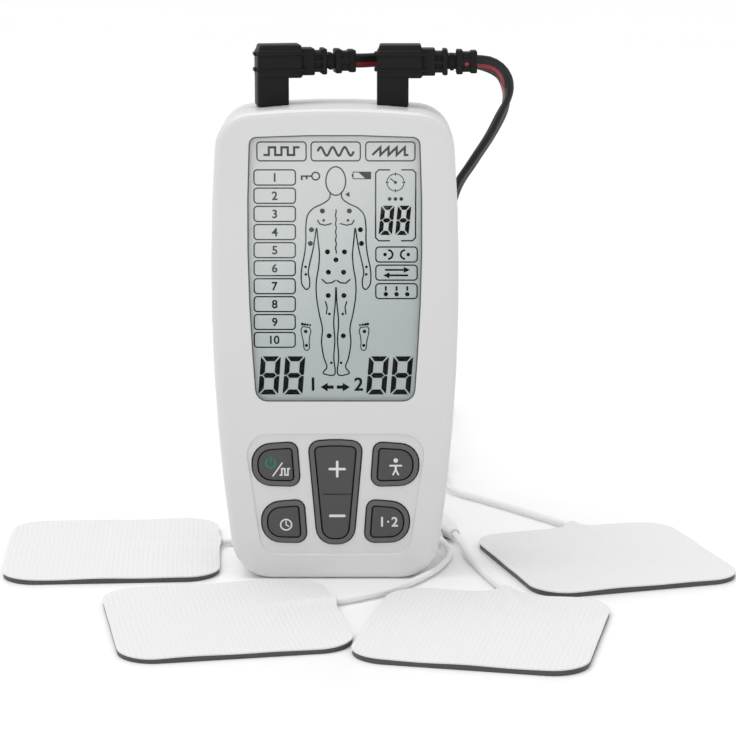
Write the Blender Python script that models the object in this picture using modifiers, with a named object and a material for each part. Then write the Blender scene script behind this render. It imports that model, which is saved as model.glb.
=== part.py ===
"""A hand-held TENS unit standing on a table, with its two leads and four electrode pads.

Metres, +Z up. The unit stands on z = 0 with its display facing -Y and +X to its right. Every piece
is one object. Panel pieces are outlines drawn in the XZ plane and extruded along Y.
"""

import math

import bmesh
import bpy
from mathutils import Matrix, Vector

MM = 0.001

# Housing
UNIT_WIDTH = 55.4 * MM
UNIT_HEIGHT = 108.1 * MM
UNIT_DEPTH = 24.0 * MM
FOOT_INSET = 5.0 * MM
BELLY_HEIGHT = 54.5 * MM
BELLY_OUTSET = 2.1 * MM
SHOULDER_INSET = 1.6 * MM
SHOULDER_DROP = 1.7 * MM
TOP_CROWN = 0.95 * MM
FOOT_RADIUS = 9.3 * MM
SHOULDER_RADIUS = 8.4 * MM
WALL = 2.0 * MM
BACK_WALL = 2.4 * MM
FRONT_EDGE_ROUND = 1.5 * MM
BACK_EDGE_ROUND = 3.0 * MM
LIP_DEPTH = 1.7 * MM
LIP_WALL = 0.8 * MM
LIP_TOP_DROP = 10.0 * MM
GAP = 0.3 * MM

# Display
WINDOW_HALF_TOP = 18.95 * MM
WINDOW_HALF_MIDDLE = 20.2 * MM
WINDOW_HALF_BOTTOM = 17.95 * MM
WINDOW_TOP_MARGIN = 6.45 * MM
WINDOW_BOTTOM = 41.7 * MM
WINDOW_BELLY = 76.0 * MM
WINDOW_TOP_RADIUS = 1.7 * MM
WINDOW_BOTTOM_RADIUS = 2.8 * MM
LENS_THICKNESS = 0.85 * MM
LENS_RECESS = 0.25 * MM
LENS_FIT = 0.15 * MM
LEDGE_WIDTH = 0.8 * MM
GLASS_HALF_WIDTH = 20.5 * MM
GLASS_BOTTOM = 40.0 * MM
GLASS_TOP_MARGIN = 4.9 * MM
GLASS_THICKNESS = 1.6 * MM
FRAME_WALL = 1.6 * MM

# Keys: outlines are (x, z, corner radius), anticlockwise as seen from the front
DISH_DEPTH = 0.4 * MM
DISH_CORNERS = ((-16.9, 5.7, 4.5), (16.9, 5.7, 4.5), (20.9, 34.3, 5.0), (-20.9, 34.3, 5.0))
UPPER_KEY_CORNERS = ((8.1, 22.0, 2.1), (18.75, 22.3, 4.3), (18.9, 31.5, 4.3), (8.8, 32.2, 1.9))
LOWER_KEY_CORNERS = ((6.6, 8.7, 2.1), (16.6, 8.9, 4.3), (16.9, 17.9, 4.3), (7.3, 18.7, 1.9))
ROCKER_CORNERS = (
    (-4.0, 8.4, 3.7), (4.0, 8.4, 3.7), (6.1, 32.2, 2.3), (0.0, 32.9, None), (-6.1, 32.2, 2.3),
)
ROCKER_WAIST = 4.575
ROCKER_FLANGE_HEIGHT = 3.2 * MM
ROCKER_PIVOT_HEIGHT = 20.2 * MM
KEY_TRAVEL = 0.8 * MM
COLLAR_WALL = 1.05 * MM
COLLAR_PROUD = 0.5 * MM
KEY_PROUD = 0.2 * MM
KEY_FIT = 0.3 * MM
KEY_FLANGE = 0.55 * MM
FLANGE_THICKNESS = 0.8 * MM
BEZEL_THICKNESS = 1.2 * MM
BEZEL_MARGIN = 1.2 * MM
DOME_HEIGHT = 0.6 * MM
DOME_RADIUS = 2.4 * MM
ROCKER_DOME_REACH = 7.0 * MM
MAT_THICKNESS = 0.8 * MM

# Electronics
BOARD_THICKNESS = 1.4 * MM
BOARD_MARGIN = 0.8 * MM
SOCKET_SPACING = 27.2 * MM
SOCKET_OFFSET = -0.65 * MM
JACK_SIZE = Vector((7.4, 5.8, 11.0)) * MM
JACK_TOP_DROP = WALL + 0.9 * MM
BUSH_RADIUS = 2.7 * MM
BUSH_HEIGHT = 2.0 * MM
TIP_RADIUS = 1.25 * MM
TIP_REACH = 10.0 * MM
TIP_GROOVE = 0.15 * MM
CHIP_SIZE = Vector((10.0, 1.3, 10.0)) * MM
CHIP_HEIGHT = 70.0 * MM
TRANSFORMER_SIZE = Vector((9.6, 7.6, 9.6)) * MM
TRANSFORMER_SPACING = 21.0 * MM
TRANSFORMER_HEIGHT = 82.0 * MM
WINDING_GAP_SHARE = Vector((0.62, 0.45, 0.24))

# Battery bay
CELL_RADIUS = 5.25 * MM
CELL_LENGTH = 44.5 * MM
CELL_NUB_RADIUS = 1.9 * MM
CELL_NUB_HEIGHT = 1.1 * MM
CELL_PITCH = 11.0 * MM
CELL_COUNT = 3
CONTACT_ROOM = 4.2 * MM
CONTACT_THICKNESS = 0.5 * MM
SPRING_RADIUS = 2.6 * MM
SPRING_TIP_RADIUS = 1.5 * MM
BAY_BOTTOM = 7.6 * MM
BAY_WALL = 1.2 * MM
BAY_SIDE_ROOM = 0.4 * MM
DOOR_THICKNESS = 2.1 * MM
DOOR_PIN_RADIUS = 0.45 * MM
DOOR_PIN_LENGTH = 0.8 * MM
DOOR_GRIP = Vector((12.0, 0.6, 1.2)) * MM
GRIP_ROWS = 3
GRIP_DROP = 4.0 * MM
GRIP_PITCH = 2.4 * MM

# Case screws
SCREW_X = UNIT_WIDTH / 2 - 6.8 * MM
SCREW_HEIGHT = 36.8 * MM
SCREW_HEAD_RADIUS = 1.9 * MM
SCREW_HEAD_THICKNESS = 1.4 * MM
SCREW_RADIUS = 0.9 * MM
SCREW_LENGTH = 18.0 * MM
BOSS_WALL = 0.8 * MM
SLOT_LENGTH = 2.2 * MM
SLOT_WIDTH = 0.5 * MM

# Lead plugs, measured from the stem's axis
STEM_SIZE = Vector((7.1, 6.8, 9.6)) * MM
HEAD_SIZE = Vector((10.2, 7.2, 7.2)) * MM
HEAD_RISE = 5.4 * MM
BLOCK_SIZE = Vector((5.6, 5.4, 6.0)) * MM
NECK_SIZE = Vector((2.0, 3.2, 3.4)) * MM
BARREL_SIZE = Vector((4.7, 5.0, 5.5)) * MM
RIB_HEIGHT = 0.35 * MM
RIB_WIDTH = 0.5 * MM
RIB_INSET = 0.8 * MM
RIB_SHARE = 0.22
RELIEF_DROP = 0.2 * MM
PLUG_TURNS = {"a": 9.0, "b": 0.0}

# Leads, pin plugs and sockets
LEAD_RADIUS = 1.4 * MM
LEG_RADIUS = 0.9 * MM
PIGTAIL_RADIUS = 0.8 * MM
COIL_MID_RADIUS = 15.5 * MM
COIL_THICKNESS_RADIUS = 5.4 * MM
COIL_SIDES = 10
SOCKET_LENGTH = 17.0 * MM
SOCKET_RADIUS = 2.3 * MM
SOCKET_NOSE_RADIUS = 1.3 * MM
SOCKET_BORE_RADIUS = 1.35 * MM
SOCKET_TAPER_LENGTH = 6.0 * MM
SOCKET_NOSE_LENGTH = 2.5 * MM
PIN_RADIUS = 1.0 * MM
PIN_LENGTH = 9.0 * MM
HANDLE_LENGTH = 13.0 * MM
HANDLE_RADIUS = 2.0 * MM
HANDLE_TAPER = 3.0 * MM
PIN_TAPER = 0.8 * MM
YOKE_SIZE = Vector((6.6, 9.0, 4.0)) * MM

# Pads: centre x, centre y and turn in degrees
PAD_SIDE = 50.0 * MM
PAD_RADIUS = 8.0 * MM
GEL_THICKNESS = 0.8 * MM
BACKING_THICKNESS = 0.8 * MM
PAD_LAYER_GAP = 0.2 * MM
PADS = {
    "1": (-53.0, 9.3, 3.7),
    "2": (-23.6, -44.6, 10.8),
    "3": (32.1, -52.0, -12.1),
    "4": (63.1, 2.6, 16.2),
}

# Pin sockets: nose x, nose y and heading in degrees, on the table
SOCKETS = {
    "1": (-13.5, 22.5, 80.0),
    "2": (24.3, 14.0, 107.5),
    "3": (28.3, 17.8, 105.0),
    "4": (26.7, 70.0, 93.0),
}
YOKES = {"a": (20.8, 139.3), "b": (1.8, 91.5)}
COIL_CENTRES = {"a": (6.0, 161.0), "b": (-4.0, 118.5)}

# Cord routes from the pad, the pin or the lead plug to the other end. All places on the table are
# in millimetres beside a unit of the size ROUTED_FOR, and move with the unit's sides when it grows.
ROUTED_FOR = Vector((55.4, 24.0, 108.1)) * MM
PIGTAIL_ROUTES = {
    "1": ((-27.5, 15.4, 1.15), (-23.5, 15.8, 1.1), (-18.5, 17.0, 1.3), (-15.0, 19.2, 2.0)),
    "2": (
        (0.3, -32.5, 1.2), (6.2, -29.0, 1.1), (12.4, -24.0, 1.1), (18.3, -16.5, 1.1), (22.9, -8.3, 1.1),
        (25.6, 0.0, 1.1), (26.6, 6.0, 1.3), (25.7, 10.6, 1.9),
    ),
    "3": ((38.7, -27.0, 1.2), (36.6, -19.5, 1.1), (33.6, -8.5, 1.1), (31.0, 4.0, 1.1), (29.5, 12.5, 1.8)),
    "4": (
        (58.0, 28.0, 1.2), (53.0, 34.8, 1.1), (47.6, 41.6, 1.1), (42.0, 48.6, 1.1), (36.0, 55.5, 1.1),
        (31.0, 61.0, 1.2), (28.0, 65.5, 1.8),
    ),
}
LEG_ROUTES = {
    "1": ((-7.4, 58.0, 1.5), (-3.4, 68.0, 1.2), (-0.7, 77.0, 1.6), (0.3, 86.5, 2.0)),
    "2": ((13.6, 50.0, 1.5), (9.8, 60.0, 1.2), (5.6, 70.0, 1.2), (3.8, 79.0, 1.6), (3.5, 86.5, 2.0)),
    "3": (
        (20.2, 54.0, 1.5), (20.3, 70.0, 1.2), (20.0, 86.0, 1.2), (19.6, 102.0, 1.2), (19.3, 118.0, 1.2),
        (19.2, 127.0, 1.6), (19.2, 134.4, 2.0),
    ),
    "4": ((25.0, 108.0, 1.5), (24.4, 118.0, 1.2), (22.9, 127.0, 1.5), (22.3, 134.4, 2.0)),
}
LEAD_ROUTES = {
    "a": (
        (3.5, 2.85, 117.3), (6.2, 3.9, 117.2), (9.6, 5.9, 117.2), (15.0, 6.8, 117.2), (24.0, 6.8, 117.2),
        (32.0, 6.2, 116.7), (37.6, 7.8, 114.2), (39.4, 11.2, 109.8), (38.5, 15.2, 104.7),
        (35.9, 19.2, 98.4), (32.1, 22.8, 91.8), (28.0, 26.0, 84.2), (25.6, 35.0, 71.0),
        (24.6, 52.0, 54.0), (24.1, 72.0, 38.5), (23.9, 93.0, 26.5), (24.3, 114.0, 18.0),
        (25.3, 138.0, 12.5), (26.5, 158.9, 10.5),
    ),
    "b": (
        (30.9, 0.0, 117.3), (34.9, 1.2, 116.7), (38.0, 3.7, 114.2), (39.3, 7.1, 110.3),
        (38.6, 11.1, 105.3), (36.1, 15.0, 99.3), (32.3, 18.5, 92.9), (28.2, 21.2, 85.7),
        (24.4, 27.0, 71.0), (22.5, 40.0, 51.5), (21.5, 56.0, 35.0), (20.0, 75.0, 22.5),
        (17.9, 97.0, 14.0), (16.5, 116.4, 10.5),
    ),
}

ARC_ERROR = 0.05 * MM
FULL_TURN = 2 * math.pi
PARTS = "TENS unit"
CUTTERS = "Cutters"

# Levels along Y, counted from the front face and from the back face
FRONT = -UNIT_DEPTH / 2
BACK = UNIT_DEPTH / 2
FRONT_INSIDE = FRONT + WALL
BACK_INSIDE = BACK - BACK_WALL
BEZEL_FRONT = FRONT_INSIDE + GAP
BEZEL_BACK = BEZEL_FRONT + BEZEL_THICKNESS
COLLAR_FRONT = FRONT + DISH_DEPTH - COLLAR_PROUD
KEY_FRONT = COLLAR_FRONT - KEY_PROUD
FLANGE_FRONT = BEZEL_BACK + GAP
FLANGE_BACK = FLANGE_FRONT + FLANGE_THICKNESS
DOME_FRONT = FLANGE_BACK + KEY_TRAVEL + GAP
MAT_FRONT = DOME_FRONT + DOME_HEIGHT
MAT_BACK = MAT_FRONT + MAT_THICKNESS
BOARD_FRONT = MAT_BACK + GAP
BOARD_BACK = BOARD_FRONT + BOARD_THICKNESS
GLASS_FRONT = FRONT_INSIDE + GAP
GLASS_BACK = GLASS_FRONT + GLASS_THICKNESS
BAY_FRONT = BOARD_BACK + 2 * GAP
BAY_FLOOR = BAY_FRONT + BAY_WALL
CELL_Y = BAY_FLOOR + GAP + CELL_RADIUS
BAY_HALF_WIDTH = CELL_PITCH * (CELL_COUNT - 1) / 2 + CELL_RADIUS + BAY_SIDE_ROOM
BAY_HEIGHT = CELL_LENGTH + 2 * CONTACT_ROOM
BAY_TOP = BAY_BOTTOM + BAY_HEIGHT
PLUG_Z = UNIT_HEIGHT + 0.1 * MM
DOOR_PIVOT = Vector((0.0, BACK - DOOR_THICKNESS / 2, BAY_BOTTOM + GAP + DOOR_THICKNESS / 2))

MATERIALS = {
    "white_plastic": ((0.72, 0.72, 0.72), 0.35, 0.0),
    "key_rubber": ((0.045, 0.045, 0.047), 0.6, 0.0),
    "lens_plastic": ((0.55, 0.62, 0.6), 0.1, 0.0),
    "lcd_glass": ((0.45, 0.5, 0.48), 0.2, 0.0),
    "frame_plastic": ((0.03, 0.03, 0.03), 0.5, 0.0),
    "board": ((0.02, 0.16, 0.06), 0.4, 0.0),
    "chip_resin": ((0.02, 0.02, 0.02), 0.45, 0.0),
    "ferrite": ((0.08, 0.07, 0.06), 0.6, 0.0),
    "silicone": ((0.3, 0.3, 0.3), 0.7, 0.0),
    "cell_jacket": ((0.06, 0.08, 0.2), 0.3, 0.2),
    "plated_metal": ((0.75, 0.74, 0.7), 0.25, 1.0),
    "plug_plastic": ((0.02, 0.02, 0.02), 0.45, 0.0),
    "lead_vinyl": ((0.02, 0.02, 0.02), 0.4, 0.0),
    "white_vinyl": ((0.75, 0.75, 0.74), 0.4, 0.0),
    "pad_fabric": ((0.8, 0.8, 0.79), 0.9, 0.0),
    "pad_gel": ((0.06, 0.06, 0.065), 0.3, 0.0),
}


def clear_scene():
    """Removes every object and makes the two collections that the parts and the cutters go in."""
    for obj in list(bpy.data.objects):
        bpy.data.objects.remove(obj, do_unlink=True)
    for name in (PARTS, CUTTERS):
        collection = bpy.data.collections.new(name)
        bpy.context.scene.collection.children.link(collection)
    bpy.data.collections[CUTTERS].hide_render = True


def material(name):
    """The named Principled material, made when it is first asked for."""
    if name in bpy.data.materials:
        return bpy.data.materials[name]
    colour, roughness, metallic = MATERIALS[name]
    made = bpy.data.materials.new(name)
    made.use_nodes = True
    shader = made.node_tree.nodes["Principled BSDF"]
    shader.inputs["Base Color"].default_value = (*colour, 1.0)
    shader.inputs["Roughness"].default_value = roughness
    shader.inputs["Metallic"].default_value = metallic
    made.diffuse_color = (*colour, 1.0)
    return made


def add_object(name, data, material_name, matrix=None):
    """An object in the parts collection, or in the cutters' when it has no material."""
    obj = bpy.data.objects.new(name, data)
    if matrix is not None:
        obj.matrix_world = matrix
    if material_name:
        bpy.data.collections[PARTS].objects.link(obj)
        data.materials.append(material(material_name))
    else:
        bpy.data.collections[CUTTERS].objects.link(obj)
        obj.hide_render = True
        obj.display_type = "WIRE"
    return obj


def mesh_object(name, bm, material_name, matrix=None):
    """Turns a bmesh into an object, with its normals pointing outwards."""
    bmesh.ops.remove_doubles(bm, verts=bm.verts, dist=0.002 * MM)
    bmesh.ops.recalc_face_normals(bm, faces=bm.faces)
    mesh = bpy.data.meshes.new(name)
    bm.to_mesh(mesh)
    bm.free()
    return add_object(name, mesh, material_name, matrix)


def boolean(target, tool, operation="DIFFERENCE"):
    """Cuts the tool out of the target, or joins it on."""
    modifier = target.modifiers.new(f"{operation.lower()} {tool.name}", "BOOLEAN")
    modifier.object = tool
    modifier.operation = operation
    modifier.solver = "EXACT"


def in_mm(corners):
    """Corners given in millimetres, in metres. A radius of None stays None."""
    return [tuple(value if value is None else value * MM for value in corner) for corner in corners]


def mirrored(corners):
    """The outline on the other side of x = 0, still anticlockwise."""
    return [(-x, z, radius) for x, z, radius in reversed(corners)]


def rounded_polygon(corners, inset=0.0):
    """A convex outline with round corners, moved inwards by inset.

    Each corner is (x, z, radius), anticlockwise. A radius of None takes the largest arc that the
    sides beside it leave room for, which bows a side.
    """
    count = len(corners)
    points = [Vector(corner[:2]) for corner in corners]
    sides = [points[(i + 1) % count] - points[i] for i in range(count)]
    inward = [Vector((-side.y, side.x)).normalized() for side in sides]
    halves = [inward[i - 1].angle(inward[i]) / 2 for i in range(count)]
    tangents = [
        0.0 if corners[i][2] is None else corners[i][2] * math.tan(halves[i]) for i in range(count)
    ]
    outline = []
    for i in range(count):
        radius = corners[i][2]
        if radius is None:
            room = min(sides[i - 1].length - tangents[i - 1], sides[i].length - tangents[(i + 1) % count])
            radius = 0.98 * room / math.tan(halves[i])
        radius = max(radius - inset, 0.2 * MM)
        outward = -(inward[i - 1] + inward[i]).normalized()
        centre = points[i] - outward * (inset + radius) / math.cos(halves[i])
        steps = max(2, math.ceil(2 * halves[i] / math.sqrt(8 * ARC_ERROR / radius)))
        start = math.atan2(outward.y, outward.x) - halves[i]
        for step in range(steps + 1):
            angle = start + 2 * halves[i] * step / steps
            outline.append(centre + Vector((math.cos(angle), math.sin(angle))) * radius)
    return outline


def body_outline(inset=0.0):
    """The housing seen from the front."""
    half = UNIT_WIDTH / 2
    right = [
        (half - FOOT_INSET, 0.0, FOOT_RADIUS),
        (half + BELLY_OUTSET, BELLY_HEIGHT, None),
        (half - SHOULDER_INSET, UNIT_HEIGHT - SHOULDER_DROP, SHOULDER_RADIUS),
    ]
    crown = [(0.0, UNIT_HEIGHT + TOP_CROWN, None)]
    return rounded_polygon(right + crown + mirrored(right), inset)


def window_outline(inset=0.0):
    """The display window seen from the front."""
    top = UNIT_HEIGHT - WINDOW_TOP_MARGIN
    right = [
        (WINDOW_HALF_BOTTOM, WINDOW_BOTTOM, WINDOW_BOTTOM_RADIUS),
        (WINDOW_HALF_MIDDLE, WINDOW_BELLY, None),
        (WINDOW_HALF_TOP, top, WINDOW_TOP_RADIUS),
    ]
    crown = [(0.0, top + TOP_CROWN, None)]
    return rounded_polygon(right + crown + mirrored(right), inset)


def rectangle(half_width, bottom, top, radius):
    """A rectangle about x = 0 with round corners."""
    corners = ((-half_width, bottom), (half_width, bottom), (half_width, top), (-half_width, top))
    return rounded_polygon([(x, z, radius) for x, z in corners])


def prism(outline, start, end, start_round=0.0, end_round=0.0, segments=2, upright=False):
    """A bmesh of the outline extruded along Y, or along Z when upright, with its rims rounded."""
    bm = bmesh.new()
    if upright:
        rim = [bm.verts.new((x, y, start)) for x, y in outline]
        along = Vector((0, 0, end - start))
        axis = 2
    else:
        rim = [bm.verts.new((x, start, z)) for x, z in outline]
        along = Vector((0, end - start, 0))
        axis = 1
    face = bm.faces.new(rim)
    made = bmesh.ops.extrude_face_region(bm, geom=[face])
    moved = [item for item in made["geom"] if isinstance(item, bmesh.types.BMVert)]
    bmesh.ops.translate(bm, verts=moved, vec=along)
    bmesh.ops.recalc_face_normals(bm, faces=bm.faces)
    for level, radius in ((start, start_round), (end, end_round)):
        if not radius:
            continue
        edges = [e for e in bm.edges if all(abs(v.co[axis] - level) < 0.001 * MM for v in e.verts)]
        bmesh.ops.bevel(bm, geom=edges, offset=radius, segments=segments, profile=0.5, affect="EDGES")
    return bm


def panel(name, outline, start, end, material_name, **rounding):
    """An outline extruded along Y, as an object."""
    return mesh_object(name, prism(outline, start, end, **rounding), material_name)


def box(name, size, centre, material_name=None, round_by=0.0, matrix=None):
    """A block, with its edges rounded when round_by is given."""
    bm = bmesh.new()
    scale = Matrix.Diagonal((*size, 1.0))
    bmesh.ops.create_cube(bm, size=1.0, matrix=Matrix.Translation(centre) @ scale)
    if round_by:
        bmesh.ops.bevel(bm, geom=bm.edges[:], offset=round_by, segments=2, profile=0.5, affect="EDGES")
    return mesh_object(name, bm, material_name, matrix)


def cylinder(name, radius, start, end, material_name=None, end_radius=None, sides=24):
    """A cylinder or a cone between two points."""
    start = Vector(start)
    end = Vector(end)
    along = end - start
    turn = along.to_track_quat("Z", "Y").to_matrix().to_4x4()
    bm = bmesh.new()
    bmesh.ops.create_cone(
        bm, cap_ends=True, segments=sides, radius1=radius,
        radius2=radius if end_radius is None else end_radius, depth=along.length,
        matrix=Matrix.Translation((start + end) / 2) @ turn,
    )
    return mesh_object(name, bm, material_name)


def turned(name, profile, material_name, matrix, steps=16):
    """A closed profile of (radius, height), from top to bottom, swept round its local Z axis."""
    mesh = bpy.data.meshes.new(name)
    edges = [(i, i + 1) for i in range(len(profile) - 1)]
    if profile[0][0] > 0:
        edges.append((len(profile) - 1, 0))
    mesh.from_pydata([(radius, 0.0, height) for radius, height in profile], edges, [])
    obj = add_object(name, mesh, material_name, matrix)
    screw = obj.modifiers.new("turn", "SCREW")
    screw.steps = steps
    screw.render_steps = steps
    screw.use_merge_vertices = True
    screw.merge_threshold = 0.00001
    return obj


def beside_unit(place):
    """A place given in millimetres beside the standard unit, in metres beside this one.

    What lies past a side of the unit moves with that side, and what lies within is stretched.
    """
    sizes = (UNIT_WIDTH / 2, UNIT_DEPTH / 2, UNIT_HEIGHT)
    standard = (ROUTED_FOR.x / 2, ROUTED_FOR.y / 2, ROUTED_FOR.z)
    moved = Vector()
    for axis, value in enumerate(place):
        share = max(-1.0, min(1.0, value * MM / standard[axis]))
        moved[axis] = value * MM + (sizes[axis] - standard[axis]) * share
    return moved


def smooth_points(knots, spacing):
    """Points at even spacing along a smooth curve through the points given."""
    ends = [2 * knots[0] - knots[1], *knots, 2 * knots[-1] - knots[-2]]
    dense = []
    for i in range(1, len(ends) - 2):
        before, here, there, after = ends[i - 1 : i + 3]
        for step in range(20):
            t = step / 20
            bend = 2 * before - 5 * here + 4 * there - after
            twist = 3 * here - before - 3 * there + after
            dense.append(here + (there - before) * t / 2 + bend * t**2 / 2 + twist * t**3 / 2)
    dense.append(knots[-1])
    length = sum((b - a).length for a, b in zip(dense, dense[1:]))
    count = max(3, round(length / spacing))
    picked = [dense[0]]
    travelled = 0.0
    for a, b in zip(dense, dense[1:]):
        travelled += (b - a).length
        if travelled >= length * len(picked) / count and len(picked) < count:
            picked.append(b)
    return [*picked, dense[-1]]


def cord(name, knots, radius, material_name):
    """A round cord along a smooth curve through its knots."""
    points = smooth_points(knots, 5 * radius)
    curve = bpy.data.curves.new(name, "CURVE")
    curve.dimensions = "3D"
    curve.bevel_depth = radius
    curve.bevel_resolution = 2
    curve.use_fill_caps = True
    spline = curve.splines.new("POLY")
    spline.points.add(len(points) - 1)
    for point, place in zip(spline.points, points):
        point.co = (*place, 1.0)
    return add_object(name, curve, material_name)


def on_table(x, y, heading, height):
    """A frame whose Z axis lies level along a heading in degrees, at a place in millimetres."""
    flat = Matrix.Rotation(math.radians(90), 4, "Y")
    turn = Matrix.Rotation(math.radians(heading), 4, "Z")
    return Matrix.Translation(beside_unit((x, y)) + Vector((0, 0, height))) @ turn @ flat


def build_front_cover():
    """The front shell, with the window, its ledge, the key openings and the two screw bosses."""
    cover = panel("front_cover", body_outline(), FRONT, -GAP / 2, "white_plastic",
                  start_round=FRONT_EDGE_ROUND, segments=3)
    boolean(cover, panel("front hollow", body_outline(WALL), FRONT_INSIDE, WALL, None))
    rebate_back = FRONT + LENS_RECESS + LENS_THICKNESS + LENS_FIT
    boolean(cover, panel("lens rebate", window_outline(), FRONT - WALL, rebate_back, None))
    opening = window_outline(LEDGE_WIDTH)
    boolean(cover, panel("window opening", opening, FRONT - WALL, FRONT_INSIDE + WALL, None))
    dish = prism(rounded_polygon(in_mm(DISH_CORNERS)), FRONT - WALL, FRONT + DISH_DEPTH,
                 end_round=DISH_DEPTH / 2, segments=1)
    boolean(cover, mesh_object("keypad dish", dish, None))
    for name, corners in key_outlines().items():
        opening = rounded_polygon(corners, -GAP)
        boolean(cover, panel(f"opening {name}", opening, FRONT - WALL, FRONT_INSIDE + WALL, None))
    boss_radius = SCREW_RADIUS + GAP + BOSS_WALL
    for side, x in (("left", -SCREW_X), ("right", SCREW_X)):
        boss_end = (x, BOARD_FRONT - GAP, SCREW_HEIGHT)
        start = (x, FRONT_INSIDE - WALL / 2, SCREW_HEIGHT)
        boss = cylinder(f"front boss {side}", boss_radius, start, boss_end)
        boolean(cover, boss, "UNION")
        pilot_start = (x, FRONT_INSIDE + WALL / 2, SCREW_HEIGHT)
        pilot_end = (x, BOARD_FRONT + WALL, SCREW_HEIGHT)
        boolean(cover, cylinder(f"pilot {side}", SCREW_RADIUS + GAP, pilot_start, pilot_end, sides=16))
    for side, x in socket_places():
        boolean(cover, bush_hole(f"front bush hole {side}", x))


def build_back_cover():
    """The back shell, with the alignment lip, the battery bay and the screw bosses."""
    cover = panel("back_cover", body_outline(), GAP / 2, BACK, "white_plastic",
                  end_round=BACK_EDGE_ROUND, segments=3)
    boolean(cover, panel("back hollow", body_outline(WALL), -WALL, BACK_INSIDE, None))
    lip = panel("lip ring", body_outline(WALL + GAP), -LIP_DEPTH, WALL, None)
    boolean(lip, panel("lip hollow", body_outline(WALL + GAP + LIP_WALL), -2 * LIP_DEPTH, 2 * WALL, None))
    top_size = (2 * UNIT_WIDTH, UNIT_DEPTH, LIP_TOP_DROP * 2)
    boolean(lip, box("lip top", top_size, (0, 0, UNIT_HEIGHT)))
    web = panel("lip web", body_outline(WALL / 2), GAP / 2, WALL, None)
    boolean(web, panel("web hollow", body_outline(WALL + GAP + LIP_WALL), -WALL, 2 * WALL, None))
    boolean(web, box("web top", top_size, (0, 0, UNIT_HEIGHT)))
    boolean(cover, web, "UNION")
    boolean(cover, lip, "UNION")
    middle = (BAY_BOTTOM + BAY_TOP) / 2
    outer_size = (2 * (BAY_HALF_WIDTH + BAY_WALL), BACK - WALL / 2 - BAY_FRONT, BAY_HEIGHT + 2 * BAY_WALL)
    outer = box("bay walls", outer_size, (0, (BAY_FRONT + BACK - WALL / 2) / 2, middle))
    boolean(cover, outer, "UNION")
    for side, x in (("left", -SCREW_X), ("right", SCREW_X)):
        radius = SCREW_HEAD_RADIUS + GAP + BOSS_WALL
        start = (x, BOARD_BACK + GAP, SCREW_HEIGHT)
        boss_end = (x, BACK - WALL / 2, SCREW_HEIGHT)
        boolean(cover, cylinder(f"back boss {side}", radius, start, boss_end), "UNION")
        outside = (x, BACK + WALL, SCREW_HEIGHT)
        bore_start = (x, BOARD_FRONT, SCREW_HEIGHT)
        boolean(cover, cylinder(f"bore {side}", SCREW_RADIUS + GAP, bore_start, outside, sides=16))
        seat = (x, screw_head_back() - SCREW_HEAD_THICKNESS - GAP, SCREW_HEIGHT)
        boolean(cover, cylinder(f"head room {side}", SCREW_HEAD_RADIUS + GAP, seat, outside))
    hollow_size = (2 * BAY_HALF_WIDTH, BACK + WALL - BAY_FLOOR, BAY_HEIGHT)
    boolean(cover, box("bay hollow", hollow_size, (0, (BAY_FLOOR + BACK + WALL) / 2, middle)))
    reach = BAY_HALF_WIDTH + DOOR_PIN_LENGTH + GAP
    pin_room = cylinder("pin room", DOOR_PIN_RADIUS + GAP, DOOR_PIVOT - Vector((reach, 0, 0)),
                        DOOR_PIVOT + Vector((reach, 0, 0)), sides=12)
    boolean(cover, pin_room)
    for side, x in socket_places():
        boolean(cover, bush_hole(f"back bush hole {side}", x))


def screw_head_back():
    """Where a screw's head ends, a little below the back face."""
    return BACK - 2 * GAP


def socket_places():
    """The two output sockets' names and places along X."""
    return (("a", SOCKET_OFFSET - SOCKET_SPACING / 2), ("b", SOCKET_OFFSET + SOCKET_SPACING / 2))


def bush_hole(name, x):
    """The cutter for a socket's hole in the top wall."""
    return cylinder(name, BUSH_RADIUS + GAP, (x, 0, UNIT_HEIGHT - 2 * WALL), (x, 0, UNIT_HEIGHT + WALL))


def build_door():
    """The battery door, which swings on two pins at its lower corners."""
    half = BAY_HALF_WIDTH - GAP
    axis_z = DOOR_PIVOT.z
    reach = DOOR_THICKNESS / 2
    top = BAY_TOP - GAP
    plate_size = (2 * half, DOOR_THICKNESS, top - axis_z)
    plate = box("door plate", plate_size, (0, DOOR_PIVOT.y, (top + axis_z) / 2))
    door = cylinder("battery_door", reach, (-half, DOOR_PIVOT.y, axis_z), (half, DOOR_PIVOT.y, axis_z),
                    "white_plastic")
    boolean(door, plate, "UNION")
    pin_half = half + GAP + DOOR_PIN_LENGTH
    pins = cylinder("door pins", DOOR_PIN_RADIUS, (-pin_half, DOOR_PIVOT.y, axis_z),
                    (pin_half, DOOR_PIVOT.y, axis_z), sides=12)
    boolean(door, pins, "UNION")
    for row in range(GRIP_ROWS):
        place = (0, BACK, top - GRIP_DROP - GRIP_PITCH * row)
        boolean(door, box(f"grip groove {row}", DOOR_GRIP, place))


def key_outlines():
    """Each key's collar outline. The lower-case name says what the key does."""
    upper = in_mm(UPPER_KEY_CORNERS)
    lower = in_mm(LOWER_KEY_CORNERS)
    return {
        "power_mode_key": mirrored(upper),
        "timer_key": mirrored(lower),
        "intensity_rocker": in_mm(ROCKER_CORNERS),
        "body_area_key": upper,
        "channel_key": lower,
    }


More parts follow.
